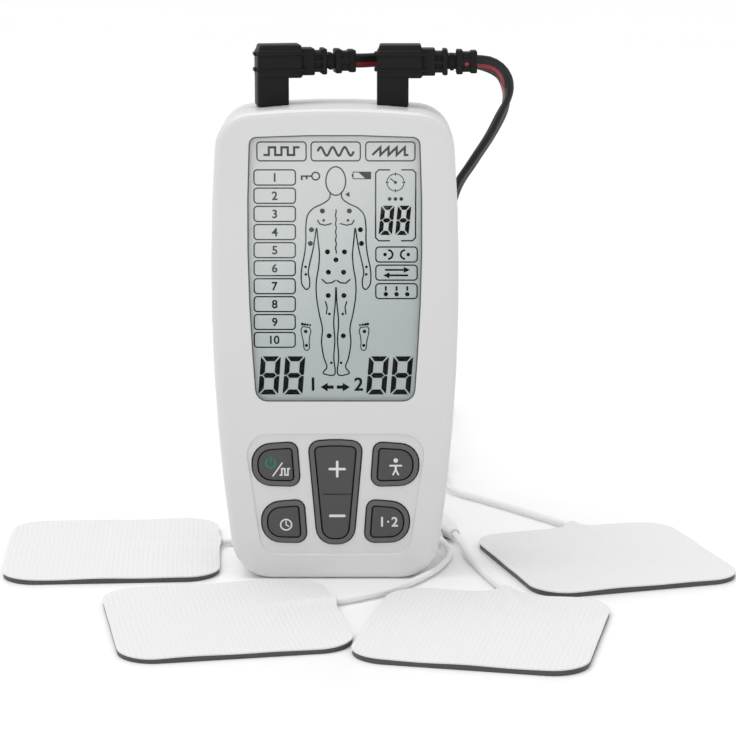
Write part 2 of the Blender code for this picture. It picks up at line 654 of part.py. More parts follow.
def build_display():
    """The window lens, the display glass and the frame that holds the glass on the board."""
    lens_front = FRONT + LENS_RECESS
    panel("window_lens", window_outline(LENS_FIT), lens_front, lens_front + LENS_THICKNESS, "lens_plastic")
    glass_top = UNIT_HEIGHT - GLASS_TOP_MARGIN
    glass = rectangle(GLASS_HALF_WIDTH, GLASS_BOTTOM, glass_top, 0.8 * MM)
    panel("lcd_panel", glass, GLASS_FRONT, GLASS_BACK, "lcd_glass")
    frame_front = GLASS_BACK + GAP
    frame = panel("lcd_frame", glass, frame_front, BOARD_FRONT - GAP, "frame_plastic")
    inner_bottom = GLASS_BOTTOM + FRAME_WALL
    inner = rectangle(GLASS_HALF_WIDTH - FRAME_WALL, inner_bottom, glass_top - FRAME_WALL, 0.8 * MM)
    boolean(frame, panel("frame opening", inner, frame_front - WALL, BOARD_FRONT, None))


def build_keypad():
    """The dark collar plate, the keys in it and the silicone mat behind them."""
    dish = in_mm(DISH_CORNERS)
    plate = panel("key_bezel", rounded_polygon(dish, BEZEL_MARGIN), BEZEL_FRONT, BEZEL_BACK, "key_rubber")
    for name, corners in key_outlines().items():
        collar = prism(rounded_polygon(corners), COLLAR_FRONT, BEZEL_BACK - GAP,
                       start_round=0.25 * MM, segments=2)
        boolean(plate, mesh_object(f"collar {name}", collar, None), "UNION")
    for name, corners in key_outlines().items():
        inside = rounded_polygon(corners, COLLAR_WALL)
        boolean(plate, panel(f"collar bore {name}", inside, FRONT - WALL, BEZEL_BACK + WALL, None))
    for name, corners in key_outlines().items():
        build_key(name, corners)
    mat = panel("keypad_mat", rounded_polygon(dish, BEZEL_MARGIN), MAT_FRONT, MAT_BACK, "silicone")
    for index, (x, z) in enumerate(dome_places()):
        dome = cylinder(f"dome {index}", DOME_RADIUS, (x, MAT_BACK - GAP, z), (x, DOME_FRONT, z),
                        end_radius=DOME_RADIUS * 0.6, sides=16)
        boolean(mat, dome, "UNION")


def dome_places():
    """The middle of each side key, and the two ends of the rocker."""
    places = []
    for name, corners in key_outlines().items():
        x = sum(corner[0] for corner in corners) / len(corners)
        z = sum(corner[1] for corner in corners) / len(corners)
        if name == "intensity_rocker":
            places.append((x, ROCKER_PIVOT_HEIGHT - ROCKER_DOME_REACH))
            places.append((x, ROCKER_PIVOT_HEIGHT + ROCKER_DOME_REACH))
        else:
            places.append((x, z))
    return places


def build_key(name, corners):
    """A key cap with a flange that keeps it behind its collar. The rocker's flange is at its pivot."""
    cap = prism(rounded_polygon(corners, COLLAR_WALL + KEY_FIT), KEY_FRONT, FLANGE_FRONT + GAP,
                start_round=0.3 * MM, segments=2)
    key = mesh_object(name, cap, "key_rubber")
    if name == "intensity_rocker":
        half = ROCKER_WAIST * MM + KEY_FLANGE
        size = (2 * half, FLANGE_THICKNESS, ROCKER_FLANGE_HEIGHT)
        middle = (0, (FLANGE_FRONT + FLANGE_BACK) / 2, ROCKER_PIVOT_HEIGHT)
        boolean(key, box("rocker flange", size, middle), "UNION")
        return
    flange = rounded_polygon(corners, COLLAR_WALL - KEY_FLANGE)
    boolean(key, panel(f"flange {name}", flange, FLANGE_FRONT, FLANGE_BACK, None), "UNION")


def build_electronics():
    """The board and what is soldered to it."""
    board = panel("circuit_board", body_outline(WALL + BOARD_MARGIN), BOARD_FRONT, BOARD_BACK, "board")
    for side, x in (("left", -SCREW_X), ("right", SCREW_X)):
        hole = cylinder(f"board hole {side}", SCREW_RADIUS + 2 * GAP, (x, BOARD_FRONT - WALL, SCREW_HEIGHT),
                        (x, BOARD_BACK + WALL, SCREW_HEIGHT), sides=16)
        boolean(board, hole)
    on_board = BOARD_BACK + GAP
    box("controller_chip", CHIP_SIZE, (0, on_board + CHIP_SIZE.y / 2, CHIP_HEIGHT), "chip_resin", 0.2 * MM)
    size = TRANSFORMER_SIZE
    for side, x in (("a", -TRANSFORMER_SPACING / 2), ("b", TRANSFORMER_SPACING / 2)):
        middle = Vector((x, on_board + size.y / 2, TRANSFORMER_HEIGHT))
        core = box(f"transformer_{side}", size, middle, "ferrite", 0.3 * MM)
        for end in (-1, 1):
            place = middle + Vector((0, size.y * 0.4, end * size.z / 2))
            boolean(core, box(f"winding gap {side} {end}", size * WINDING_GAP_SHARE, place))
    jack_top = UNIT_HEIGHT - JACK_TOP_DROP
    for side, x in socket_places():
        middle = (x, on_board + JACK_SIZE.y / 2, jack_top - JACK_SIZE.z / 2)
        jack = box(f"output_jack_{side}", JACK_SIZE, middle, "frame_plastic")
        bush = cylinder(f"bush {side}", BUSH_RADIUS, (x, 0, jack_top - GAP), (x, 0, jack_top + BUSH_HEIGHT))
        boolean(jack, bush, "UNION")
        bore_end = PLUG_Z - TIP_REACH - 2 * GAP
        bore = cylinder(f"jack bore {side}", TIP_RADIUS + GAP, (x, 0, bore_end),
                        (x, 0, UNIT_HEIGHT + WALL), sides=16)
        boolean(jack, bore)


def build_cells():
    """Three cells, the middle one upside down, and the contact strips at their ends."""
    bottom = BAY_BOTTOM + CONTACT_ROOM
    top = bottom + CELL_LENGTH
    body = CELL_LENGTH - CELL_NUB_HEIGHT
    edge = 0.6 * MM
    profile = (
        (0.0, CELL_LENGTH), (CELL_NUB_RADIUS, CELL_LENGTH), (CELL_NUB_RADIUS, body),
        (CELL_RADIUS - edge, body), (CELL_RADIUS, body - edge), (CELL_RADIUS, edge),
        (CELL_RADIUS - edge, 0.0), (0.0, 0.0),
    )
    strips = []
    for z, inwards, name in ((BAY_BOTTOM + GAP, 1, "lower"), (BAY_TOP - GAP, -1, "upper")):
        size = (2 * BAY_HALF_WIDTH - 4 * GAP, 2 * CELL_RADIUS - 2 * GAP, CONTACT_THICKNESS)
        middle = (0, CELL_Y, z + inwards * CONTACT_THICKNESS / 2)
        strips.append(box(f"battery_contacts_{name}", size, middle, "plated_metal"))
    for index in range(CELL_COUNT):
        x = (index - (CELL_COUNT - 1) / 2) * CELL_PITCH
        flipped = index % 2 == 1
        place = Matrix.Translation((x, CELL_Y, top if flipped else bottom))
        turn = Matrix.Rotation(math.pi if flipped else 0.0, 4, "X")
        turned(f"battery_{index + 1}", profile, "cell_jacket", place @ turn, steps=24)
        spans = ((BAY_BOTTOM + GAP, bottom - GAP), (BAY_TOP - GAP, top + GAP))
        for strip, (root, tip) in zip(strips, spans):
            spring = cylinder(f"{strip.name} spring {index}", SPRING_RADIUS, (x, CELL_Y, root),
                              (x, CELL_Y, tip), end_radius=SPRING_TIP_RADIUS, sides=14)
            boolean(strip, spring, "UNION")


def build_screws():
    """The two screws that hold the covers together, with a cross slot in each head."""
    shank_end = screw_head_back() - SCREW_LENGTH
    for side, x in (("left", -SCREW_X), ("right", SCREW_X)):
        back = (x, screw_head_back(), SCREW_HEIGHT)
        seat = (x, screw_head_back() - SCREW_HEAD_THICKNESS, SCREW_HEIGHT)
        screw = cylinder(f"case_screw_{side}", SCREW_HEAD_RADIUS, seat, back, "plated_metal", sides=20)
        shank = cylinder(f"shank {side}", SCREW_RADIUS, (x, shank_end, SCREW_HEIGHT),
                         (x, screw_head_back() - SCREW_HEAD_THICKNESS / 2, SCREW_HEIGHT), sides=12)
        boolean(screw, shank, "UNION")
        flat_slot = (SLOT_LENGTH, SCREW_HEAD_THICKNESS, SLOT_WIDTH)
        upright_slot = (SLOT_WIDTH, SCREW_HEAD_THICKNESS, SLOT_LENGTH)
        boolean(screw, box(f"flat slot {side}", flat_slot, back))
        boolean(screw, box(f"upright slot {side}", upright_slot, back))


def build_plug(side, x):
    """A right-angled lead plug standing in its socket, with its metal tip."""
    stem_bottom = PLUG_Z + GAP
    head_middle = stem_bottom + HEAD_RISE + HEAD_SIZE.z / 2
    left = x - STEM_SIZE.x / 2
    head_place = (left + HEAD_SIZE.x / 2, 0, head_middle)
    plug = box(f"lead_plug_{side}", HEAD_SIZE, head_place, "plug_plastic", 0.7 * MM)
    added = [box(f"stem {side}", STEM_SIZE, (x, 0, stem_bottom + STEM_SIZE.z / 2), None, 0.6 * MM)]
    ridge_size = (HEAD_SIZE.x - 2 * RIB_INSET, HEAD_SIZE.y + 2 * RIB_HEIGHT, RIB_WIDTH)
    for index, share in enumerate((-RIB_SHARE, RIB_SHARE)):
        place = (left + HEAD_SIZE.x / 2, 0, head_middle + share * HEAD_SIZE.z)
        added.append(box(f"ridge {side} {index}", ridge_size, place))
    relief_middle = head_middle - RELIEF_DROP
    block_x = left + HEAD_SIZE.x + BLOCK_SIZE.x / 2 - GAP
    neck_x = block_x + BLOCK_SIZE.x / 2
    barrel_x = neck_x + NECK_SIZE.x / 2 + BARREL_SIZE.x / 2 - GAP
    added.append(box(f"block {side}", BLOCK_SIZE, (block_x, 0, relief_middle), None, 0.4 * MM))
    added.append(box(f"neck {side}", NECK_SIZE, (neck_x, 0, relief_middle)))
    added.append(box(f"barrel {side}", BARREL_SIZE, (barrel_x, 0, relief_middle), None, 0.5 * MM))
    for piece in added:
        boolean(plug, piece, "UNION")
    bore = cylinder(f"tip seat {side}", TIP_RADIUS + GAP, (x, 0, stem_bottom - WALL),
                    (x, 0, stem_bottom + WALL), sides=16)
    boolean(plug, bore)
    axis = Matrix.Translation((x, 0, 0))
    swing = axis @ Matrix.Rotation(math.radians(PLUG_TURNS[side]), 4, "Z") @ axis.inverted()
    for piece in (plug, *added, bore):
        piece.matrix_world = swing
    tip_top = TIP_REACH + WALL - GAP
    waist = TIP_RADIUS - TIP_GROOVE
    tip_profile = (
        (0.0, tip_top), (TIP_RADIUS, tip_top), (TIP_RADIUS, 3.4 * MM), (waist, 3.2 * MM),
        (waist, 2.4 * MM), (TIP_RADIUS, 2.0 * MM), (TIP_RADIUS, 1.0 * MM), (0.5 * MM, 0.0), (0.0, 0.0),
    )
    tip_place = Matrix.Translation((x, 0, PLUG_Z - TIP_REACH))
    turned(f"plug_tip_{side}", tip_profile, "plated_metal", tip_place, steps=14)


def build_leads():
    """Both leads: plug, cord, wound spare length, yoke and the two legs with their pin plugs."""
    for side, x in socket_places():
        build_plug(side, x)
        knots = [beside_unit(place) for place in LEAD_ROUTES[side]]
        cord(f"lead_{side}", knots, LEAD_RADIUS, "lead_vinyl")
    radius = COIL_THICKNESS_RADIUS
    ring = []
    for index in range(COIL_SIDES):
        angle = FULL_TURN * index / COIL_SIDES
        ring.append((COIL_MID_RADIUS + radius * math.sin(angle), radius * math.cos(angle)))
    for side, centre in COIL_CENTRES.items():
        place = Matrix.Translation(beside_unit(centre) + Vector((0, 0, radius)))
        turned(f"lead_coil_{side}", ring, "lead_vinyl", place, steps=28)
    for side, centre in YOKES.items():
        place = Matrix.Translation(beside_unit(centre) + Vector((0, 0, YOKE_SIZE.z / 2)))
        box(f"lead_yoke_{side}", YOKE_SIZE, (0, 0, 0), "plug_plastic", 0.8 * MM, place)
    for number in SOCKETS:
        build_connection(number)


def build_connection(number):
    """A pad's white socket and the black pin plug in it, on the table, with the cord at each end."""
    x, y, heading = SOCKETS[number]
    frame = on_table(x, y, heading, SOCKET_RADIUS)
    depth = PIN_LENGTH + GAP
    floor = SOCKET_LENGTH - depth
    socket_profile = (
        (SOCKET_BORE_RADIUS, SOCKET_LENGTH), (SOCKET_RADIUS, SOCKET_LENGTH),
        (SOCKET_RADIUS, SOCKET_TAPER_LENGTH), (SOCKET_NOSE_RADIUS + 0.5 * MM, SOCKET_NOSE_LENGTH),
        (SOCKET_NOSE_RADIUS, 0.0), (0.0, 0.0), (0.0, floor), (SOCKET_BORE_RADIUS, floor),
    )
    turned(f"pad_socket_{number}", socket_profile, "white_vinyl", frame, steps=14)
    start = SOCKET_LENGTH + GAP
    end = start + HANDLE_LENGTH
    point = start - PIN_LENGTH
    pin_profile = (
        (0.0, end), (LEG_RADIUS + 0.4 * MM, end), (HANDLE_RADIUS, end - HANDLE_TAPER),
        (HANDLE_RADIUS, start), (PIN_RADIUS, start), (PIN_RADIUS, point + PIN_TAPER),
        (PIN_RADIUS * 0.5, point), (0.0, point),
    )
    turned(f"pin_plug_{number}", pin_profile, "plug_plastic", frame, steps=14)
    tail = frame @ Vector((0, 0, end + GAP))
    knots = [tail, *(beside_unit(place) for place in LEG_ROUTES[number])]
    cord(f"lead_leg_{number}", knots, LEG_RADIUS, "lead_vinyl")
    nose = frame @ Vector((0, 0, -GAP))
    knots = [*(beside_unit(place) for place in PIGTAIL_ROUTES[number]), nose]
    cord(f"pad_wire_{number}", knots, PIGTAIL_RADIUS, "white_vinyl")


def build_pads():
    """Four self-adhesive pads: a dark gel layer and a woven backing on it."""
    half = PAD_SIDE / 2
    corners = ((-half, -half), (half, -half), (half, half), (-half, half))
    outline = rounded_polygon([(x, y, PAD_RADIUS) for x, y in corners])
    backing_start = GEL_THICKNESS + PAD_LAYER_GAP
    backing_end = backing_start + BACKING_THICKNESS
    for number, (x, y, turn) in PADS.items():
        turned_by = Matrix.Rotation(math.radians(turn), 4, "Z")
        place = Matrix.Translation(beside_unit((x, y))) @ turned_by
        gel = prism(outline, 0.0, GEL_THICKNESS, upright=True)
        mesh_object(f"pad_gel_{number}", gel, "pad_gel", place)
        backing = prism(outline, backing_start, backing_end, end_round=0.3 * MM, segments=1, upright=True)
        mesh_object(f"pad_backing_{number}", backing, "pad_fabric", place)


def main():
    clear_scene()
    build_front_cover()
    build_back_cover()
    build_door()
    build_display()
    build_keypad()
    build_electronics()
    build_cells()
    build_screws()
    build_leads()
    build_pads()


main()
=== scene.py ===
# %% [markdown]
# # A TENS unit with its leads and pads
# A TENS unit is a pocket nerve stimulator: a white two-part shell with a tall display and five
# rubber keys, two leads plugged into its top, and four adhesive pads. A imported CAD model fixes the
# sizes and the moving parts. Everything below is built round it, in metres, in the same place.

# %% Load the frame
import math

import bmesh
import bpy
import numpy as np
from mathutils import Matrix, Vector


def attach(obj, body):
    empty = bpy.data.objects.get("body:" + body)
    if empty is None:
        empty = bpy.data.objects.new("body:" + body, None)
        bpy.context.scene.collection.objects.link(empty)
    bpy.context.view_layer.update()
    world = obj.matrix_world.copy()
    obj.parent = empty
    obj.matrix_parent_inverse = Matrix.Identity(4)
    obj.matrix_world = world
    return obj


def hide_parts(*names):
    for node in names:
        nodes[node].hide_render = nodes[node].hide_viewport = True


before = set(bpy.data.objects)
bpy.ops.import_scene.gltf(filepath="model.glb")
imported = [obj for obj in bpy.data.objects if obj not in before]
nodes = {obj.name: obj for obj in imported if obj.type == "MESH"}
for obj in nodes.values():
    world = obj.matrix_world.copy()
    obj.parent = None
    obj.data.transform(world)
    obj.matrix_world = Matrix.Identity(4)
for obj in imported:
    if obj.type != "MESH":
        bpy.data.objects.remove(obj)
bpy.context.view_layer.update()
MM = 0.001
UP = Vector((0, 0, 1))
bpy.context.scene.view_settings.view_transform = "Standard"

# %% [markdown]
# ## The camera
# A long lens keeps the unit's sides nearly parallel; a short one close by would flare its top. It
# looks slightly down, so that the pads on the table show their tops.

# %% Camera
CAMERA_PLACE = Vector((7.4, -557.7, 164.5)) * MM
CAMERA_PITCH = 11.9
FOCAL_LENGTH = 121.0
SENSOR_WIDTH = 36.0
NEAREST_SEEN = 0.01
camera_data = bpy.data.cameras.new("camera")
camera_data.lens = FOCAL_LENGTH
camera_data.sensor_width = SENSOR_WIDTH
camera_data.clip_start = NEAREST_SEEN
camera = bpy.data.objects.new("camera", camera_data)
camera.location = CAMERA_PLACE
camera.rotation_euler = (math.radians(90 - CAMERA_PITCH), 0, 0)
bpy.context.scene.collection.objects.link(camera)
bpy.context.scene.camera = camera
print("camera at", tuple(camera.location), "metres")

# %% [markdown]
# ## Two shared effects
# Moulded plastic is never quite even: it has a fine grain from the mould and wide, faint blotches
# where the gloss changes. One node group holds both, so that every finish can ask for its own
# size of grain. A second group makes the ribbed weave of the pads' cloth.

# %% Helpers for node groups


def node_group(name, inputs, outputs):
    """An empty shader group with float inputs, given as name and default, and float outputs."""
    group = bpy.data.node_groups.new(name, "ShaderNodeTree")
    for label, value in inputs.items():
        socket = group.interface.new_socket(label, in_out="INPUT", socket_type="NodeSocketFloat")
        socket.default_value = value
    for label in outputs:
        group.interface.new_socket(label, in_out="OUTPUT", socket_type="NodeSocketFloat")
    return group, group.nodes.new("NodeGroupInput"), group.nodes.new("NodeGroupOutput")


def noise(tree, size, detail, coordinates):
    """A noise texture whose lumps are size metres across. Size is a number or a socket."""
    texture = tree.nodes.new("ShaderNodeTexNoise")
    texture.inputs["Detail"].default_value = detail
    tree.links.new(coordinates, texture.inputs["Vector"])
    if isinstance(size, float):
        texture.inputs["Scale"].default_value = 1 / size
    else:
        per_metre = math_node(tree, "DIVIDE", 1.0, size)
        tree.links.new(per_metre, texture.inputs["Scale"])
    return texture.outputs["Fac"]


def math_node(tree, operation, *values):
    """A math node fed with numbers or sockets. Returns its output."""
    node = tree.nodes.new("ShaderNodeMath")
    node.operation = operation
    for socket, value in zip(node.inputs, values):
        if isinstance(value, (int, float)):
            socket.default_value = value
        else:
            tree.links.new(value, socket)
    return node.outputs[0]


# %% Moulded grain


def make_grain():
    """A fine grain and a wide blotch, each from 0 to 1, with their sizes in metres."""
    group, given, result = node_group(
        "moulded_grain", {"Grain Size": 0.0003, "Blotch Size": 0.02}, ("Grain", "Blotch")
    )
    place = group.nodes.new("ShaderNodeTexCoord").outputs["Object"]
    grain = noise(group, given.outputs["Grain Size"], 4.0, place)
    blotch = noise(group, given.outputs["Blotch Size"], 3.0, place)
    group.links.new(grain, result.inputs["Grain"])
    group.links.new(blotch, result.inputs["Blotch"])
    return group


GRAIN = make_grain()
print("group:", GRAIN.name)

# %% [markdown]
# The backing cloth has ribs along the pad and finer threads across them. Both are sine waves. A
# slow noise bends the ribs and makes them fade in patches, so that they don't look machine ruled.
# The cloth's colour is painted darker in the valleys between the ribs: painted shade.

# %% Ribbed weave
WANDER_SIZE = 0.006
WANDER_DEPTH = 0.0009
PATCH_SIZE = 0.009
FUZZ_SIZE = 0.0004
THREAD_HEIGHT = 0.22


def make_weave():
    """Ribs along local Y with finer threads across them: their height, and a shade that paints the cloth
    darker in the rib valleys.
    """
    group, given, result = node_group(
        "ribbed_weave", {"Rib Width": 0.00115, "Thread Width": 0.00035}, ("Height", "Shade")
    )
    place = group.nodes.new("ShaderNodeTexCoord").outputs["Object"]
    parts = group.nodes.new("ShaderNodeSeparateXYZ")
    group.links.new(place, parts.inputs[0])
    wander = noise(group, WANDER_SIZE, 2.0, place)
    wandering = math_node(group, "MULTIPLY_ADD", wander, WANDER_DEPTH, parts.outputs["X"])
    waves = []
    for along, width in ((wandering, "Rib Width"), (parts.outputs["Y"], "Thread Width")):
        turns = math_node(group, "DIVIDE", along, given.outputs[width])
        waves.append(math_node(group, "SINE", math_node(group, "MULTIPLY", turns, 2 * math.pi)))
    patches = noise(group, PATCH_SIZE, 2.0, place)
    ribs = math_node(group, "MULTIPLY", waves[0], patches)
    threads = math_node(group, "MULTIPLY", waves[1], THREAD_HEIGHT)
    fuzz = noise(group, FUZZ_SIZE, 3.0, place)
    height = math_node(group, "ADD", math_node(group, "ADD", ribs, threads), fuzz)
    group.links.new(height, result.inputs["Height"])
    # The Shade output paints the cloth darker in the rib valleys: painted shade.
    group.links.new(math_node(group, "MULTIPLY_ADD", ribs, 0.5, 0.5), result.inputs["Shade"])
    return group


WEAVE = make_weave()
print("group:", WEAVE.name)

# %% [markdown]
# ## Finishes
# Each finish is a Principled shader. Its colour drifts a little between two near shades, its gloss
# drifts with it, and the grain feeds a bump. Numbers that are the same everywhere stay on the
# shader itself.

# %% A maker of moulded finishes


def finish_of(name, colours, roughness, effect, height, depth, sizes, **constants):
    """A material whose colour and gloss vary with an effect group, which also feeds its bump."""
    material = bpy.data.materials.new(name)
    material.use_nodes = True
    tree = material.node_tree
    shader = tree.nodes["Principled BSDF"]
    group = tree.nodes.new("ShaderNodeGroup")
    group.node_tree = effect
    for label, value in sizes.items():
        group.inputs[label].default_value = value
    shade = group.outputs["Blotch" if effect is GRAIN else "Shade"]
    mix = tree.nodes.new("ShaderNodeMix")
    mix.data_type = "RGBA"
    tree.links.new(shade, mix.inputs["Factor"])
    mix.inputs["A"].default_value = (*colours[0], 1)
    mix.inputs["B"].default_value = (*colours[1], 1)
    tree.links.new(mix.outputs["Result"], shader.inputs["Base Color"])
    gloss = tree.nodes.new("ShaderNodeMapRange")
    gloss.inputs["To Min"].default_value, gloss.inputs["To Max"].default_value = roughness
    tree.links.new(shade, gloss.inputs["Value"])
    tree.links.new(gloss.outputs["Result"], shader.inputs["Roughness"])
    bump = tree.nodes.new("ShaderNodeBump")
    bump.inputs["Distance"].default_value = depth
    tree.links.new(group.outputs[height], bump.inputs["Height"])
    tree.links.new(bump.outputs["Normal"], shader.inputs["Normal"])
    for label, value in constants.items():
        shader.inputs[label.replace("_", " ")].default_value = value
    return material


def moulded(name, colour, other, roughness, grain=0.3, depth=0.02, blotch=20.0, **constants):
    """A plastic, rubber or metal finish. Grain, depth and blotch are in millimetres."""
    sizes = {"Grain Size": grain * MM, "Blotch Size": blotch * MM}
    colours = (colour, other)
    return finish_of(name, colours, roughness, GRAIN, "Grain", depth * MM, sizes, **constants)


def grey(value):
    return (value, value, value)


# %% Finishes of the outer parts
SHELL = moulded("shell_plastic", (0.70, 0.70, 0.705), (0.735, 0.735, 0.735), (0.3, 0.42),
                grain=0.25, depth=0.004, Coat_Weight=0.15, Coat_Roughness=0.2)
KEY = moulded("key_rubber", grey(0.062), grey(0.072), (0.48, 0.62), grain=0.12, depth=0.006)
COLLAR = moulded("collar_rubber", grey(0.105), grey(0.12), (0.5, 0.62), grain=0.12, depth=0.006)
LEGEND = moulded("legend_ink", grey(0.78), grey(0.7), (0.45, 0.6), grain=0.1, depth=0.003)
GREEN_INK = moulded("power_ink", (0.0, 0.19, 0.085), (0.0, 0.23, 0.1), (0.45, 0.6), grain=0.1)
BLACK = moulded("plug_plastic", grey(0.006), grey(0.01), (0.45, 0.6),
                grain=0.22, depth=0.02, blotch=3.0, Specular_IOR_Level=0.2)
VINYL = moulded("lead_vinyl", grey(0.009), grey(0.015), (0.38, 0.5),
                grain=0.5, depth=0.01, blotch=6.0, Specular_IOR_Level=0.3)
STRIPE = moulded("red_vinyl", (0.30, 0.018, 0.022), (0.22, 0.012, 0.016), (0.3, 0.4), grain=0.5)
WIRE = moulded("white_vinyl", grey(0.86), grey(0.89), (0.3, 0.42),
               grain=0.5, depth=0.006, blotch=8.0)
GEL = moulded("pad_gel", grey(0.05), grey(0.085), (0.35, 0.6), grain=0.5, depth=0.12, blotch=2.0)
METAL = moulded("nickel", grey(0.55), grey(0.68), (0.18, 0.34),
                grain=0.2, depth=0.004, blotch=1.5, Metallic=1.0)
WEAVE_DEPTH = 0.035
# The cloth's colour follows the weave's Shade: painted shade in the rib valleys.
CLOTH = finish_of("pad_cloth", (grey(0.735), grey(0.795)), (0.75, 0.92), WEAVE, "Height",
                  WEAVE_DEPTH * MM, {}, Sheen_Weight=0.25, Sheen_Roughness=0.5)
print("finishes:", len(bpy.data.materials))

# %% [markdown]
# ## Tubes and cords
# A cord is one smooth line with a section swept along it. The twin lead is two insulated
# conductors side by side, so its section is a figure of eight; one of them carries a red stripe.
# A round wire is a Blender curve with a bevel. The visible stretch leaves its plug, bends round and
# goes down behind the unit, where the rest of its length is wound up and out of sight.

# %% Helpers for lines
STEPS_A_KNOT = 24


def smooth_line(knots, spacing):
    """Points at even spacing along a smooth curve through the knots."""
    ends = [2 * knots[0] - knots[1], *knots, 2 * knots[-1] - knots[-2]]
    dense = []
    for before, here, there, after in zip(ends, ends[1:], ends[2:], ends[3:]):
        for step in range(STEPS_A_KNOT):
            t = step / STEPS_A_KNOT
            bend = 2 * before - 5 * here + 4 * there - after
            twist = 3 * here - before - 3 * there + after
            dense.append(here + (there - before) * t / 2 + bend * t**2 / 2 + twist * t**3 / 2)
    dense.append(knots[-1])
    travelled = np.cumsum([0.0] + [(b - a).length for a, b in zip(dense, dense[1:])])
    count = max(4, round(travelled[-1] / spacing))
    wanted = np.linspace(0, travelled[-1], count + 1)
    columns = np.array([tuple(place) for place in dense]).T
    places = np.stack([np.interp(wanted, travelled, column) for column in columns], 1)
    return [Vector(place) for place in places]


def length_of(line):
    return sum((b - a).length for a, b in zip(line, line[1:]))


def in_metres(places):
    return [Vector(place) * MM for place in places]


def ease(share):
    """A share from 0 to 1 that starts and stops gently."""
    return share * share * (3 - 2 * share)


# %% Helpers for pieces and meshes
SAME_POINT = 0.001


def add_piece(name, data, materials, body, place=None):
    """Links a mesh or a curve as a piece that rides on a body and has a slot's finish."""
    piece = bpy.data.objects.new(name, data)
    for material in materials:
        data.materials.append(material)
    if place is not None:
        piece.matrix_world = place
    bpy.context.scene.collection.objects.link(piece)
    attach(piece, body)
    return piece


def smooth_mesh(bm, name, angle):
    """A mesh from a bmesh, shaded smooth except over edges sharper than the angle."""
    bmesh.ops.remove_doubles(bm, verts=bm.verts, dist=SAME_POINT * MM)
    bmesh.ops.recalc_face_normals(bm, faces=bm.faces)
    for face in bm.faces:
        face.smooth = True
    for edge in bm.edges:
        edge.smooth = not edge.is_manifold or edge.calc_face_angle(0) < math.radians(angle)
    mesh = bpy.data.meshes.new(name)
    bm.to_mesh(mesh)
    bm.free()
    return mesh


def sweep(line, ways, section):
    """A closed bmesh of a section swept along a line. A section's first value goes along ways."""
    bm = bmesh.new()
    rings = []
    for index, (point, wide) in enumerate(zip(line, ways)):
        ahead = line[min(index + 1, len(line) - 1)] - line[max(index - 1, 0)]
        thick = ahead.cross(wide).normalized()
        rings.append([bm.verts.new(point + wide * a + thick * b) for a, b in section])
    for ring, after in zip(rings, rings[1:]):
        for k in range(len(section)):
            bm.faces.new((ring[k], ring[k - 1], after[k - 1], after[k]))
    bm.faces.new(rings[0])
    bm.faces.new(rings[-1])
    return bm


# %% [markdown]
# ### The twin leads
# The section is two lobes of 0.8 mm radius. Their wide side starts upright at the plug, turns over
# in the first bend, which hides the stripe, and turns slowly on the way down. In the coil, each
# turn takes the next place of a round bundle. The tail crosses the coil's middle and leaves under
# it, where the turns rise over it in a low hump. Routes are in millimetres.

# %% Routes of the twin leads
LOBE_RADIUS = 0.8 * MM
LOBE_OFFSET = 0.8 * MM
LEAD_ROUTES = {
    "a": (
        (2.5, 2.7, 117.3), (6.2, 3.9, 117.2), (9.6, 5.9, 117.2), (15.0, 6.8, 117.2), (24.0, 6.8, 117.2),
        (32.0, 6.2, 116.7), (37.6, 7.8, 114.2), (39.4, 11.2, 109.8), (38.5, 15.2, 104.7),
        (35.9, 19.2, 98.4), (32.1, 22.8, 91.8), (28.0, 26.0, 84.2), (25.6, 35.0, 71.0),
        (24.6, 52.0, 54.0), (24.1, 72.0, 38.5), (23.9, 93.0, 26.5), (24.3, 114.0, 18.0),
        (25.3, 138.0, 12.5), (26.5, 158.9, 10.5),
    ),
    "b": (
        (29.9, 0.0, 117.3), (34.9, 1.2, 116.7), (38.0, 3.7, 114.2), (39.3, 7.1, 110.3),
        (38.6, 11.1, 105.3), (36.1, 15.0, 99.3), (32.3, 18.5, 92.9), (28.2, 21.2, 85.7),
        (24.4, 27.0, 71.0), (22.5, 40.0, 51.5), (21.5, 56.0, 35.0), (20.0, 75.0, 22.5),
        (17.9, 97.0, 14.0), (16.5, 116.4, 10.5),
    ),
}
COIL_CENTRES = {"a": Vector((6.0, 161.0, 0)), "b": Vector((-4.0, 118.5, 0))}
YOKE_BACKS = {"a": Vector((20.8, 144.2, 2.0)), "b": Vector((1.8, 96.4, 2.0))}
print("routes:", {side: len(route) for side, route in LEAD_ROUTES.items()}, "knots")

# %% [markdown]
# A coil is eight turns. A turn keeps its place in the bundle for four fifths of the way round and
# then moves over to the next one. The first turn lands from outside and above. Places in the
# bundle are pairs: out from the coil's own radius, and up from the table, in millimetres.

# %% The coils
COIL_RADIUS = 15.5
BUNDLE = (
    (0.9, 8.25), (-0.9, 8.25), (-1.8, 4.95), (0, 4.95),
    (1.8, 4.95), (1.8, 1.65), (0, 1.65), (-1.8, 1.65),
)
LAST_TURN = len(BUNDLE) - 1
COIL_STEPS = 24 * len(BUNDLE) + 8
FIRST_ANGLE = -6
CROSSING_START = 0.8
CROSSING_TURNS = 0.2
LANDING_TURNS = 0.2
LANDING_OUT = 4.2
LANDING_RISE = 1.4
HUMP_HEIGHT = 3.2
HUMP_ANGLE = 0.34
HUMP_END = len(BUNDLE) - 0.05
TAIL_HEIGHT = 1.5
TAIL_STEPS = 12
TAIL_PLACES = (4.0, 8.5, 13.0, 17.0)
YOKE_ENTRIES = (2.0, -0.8)


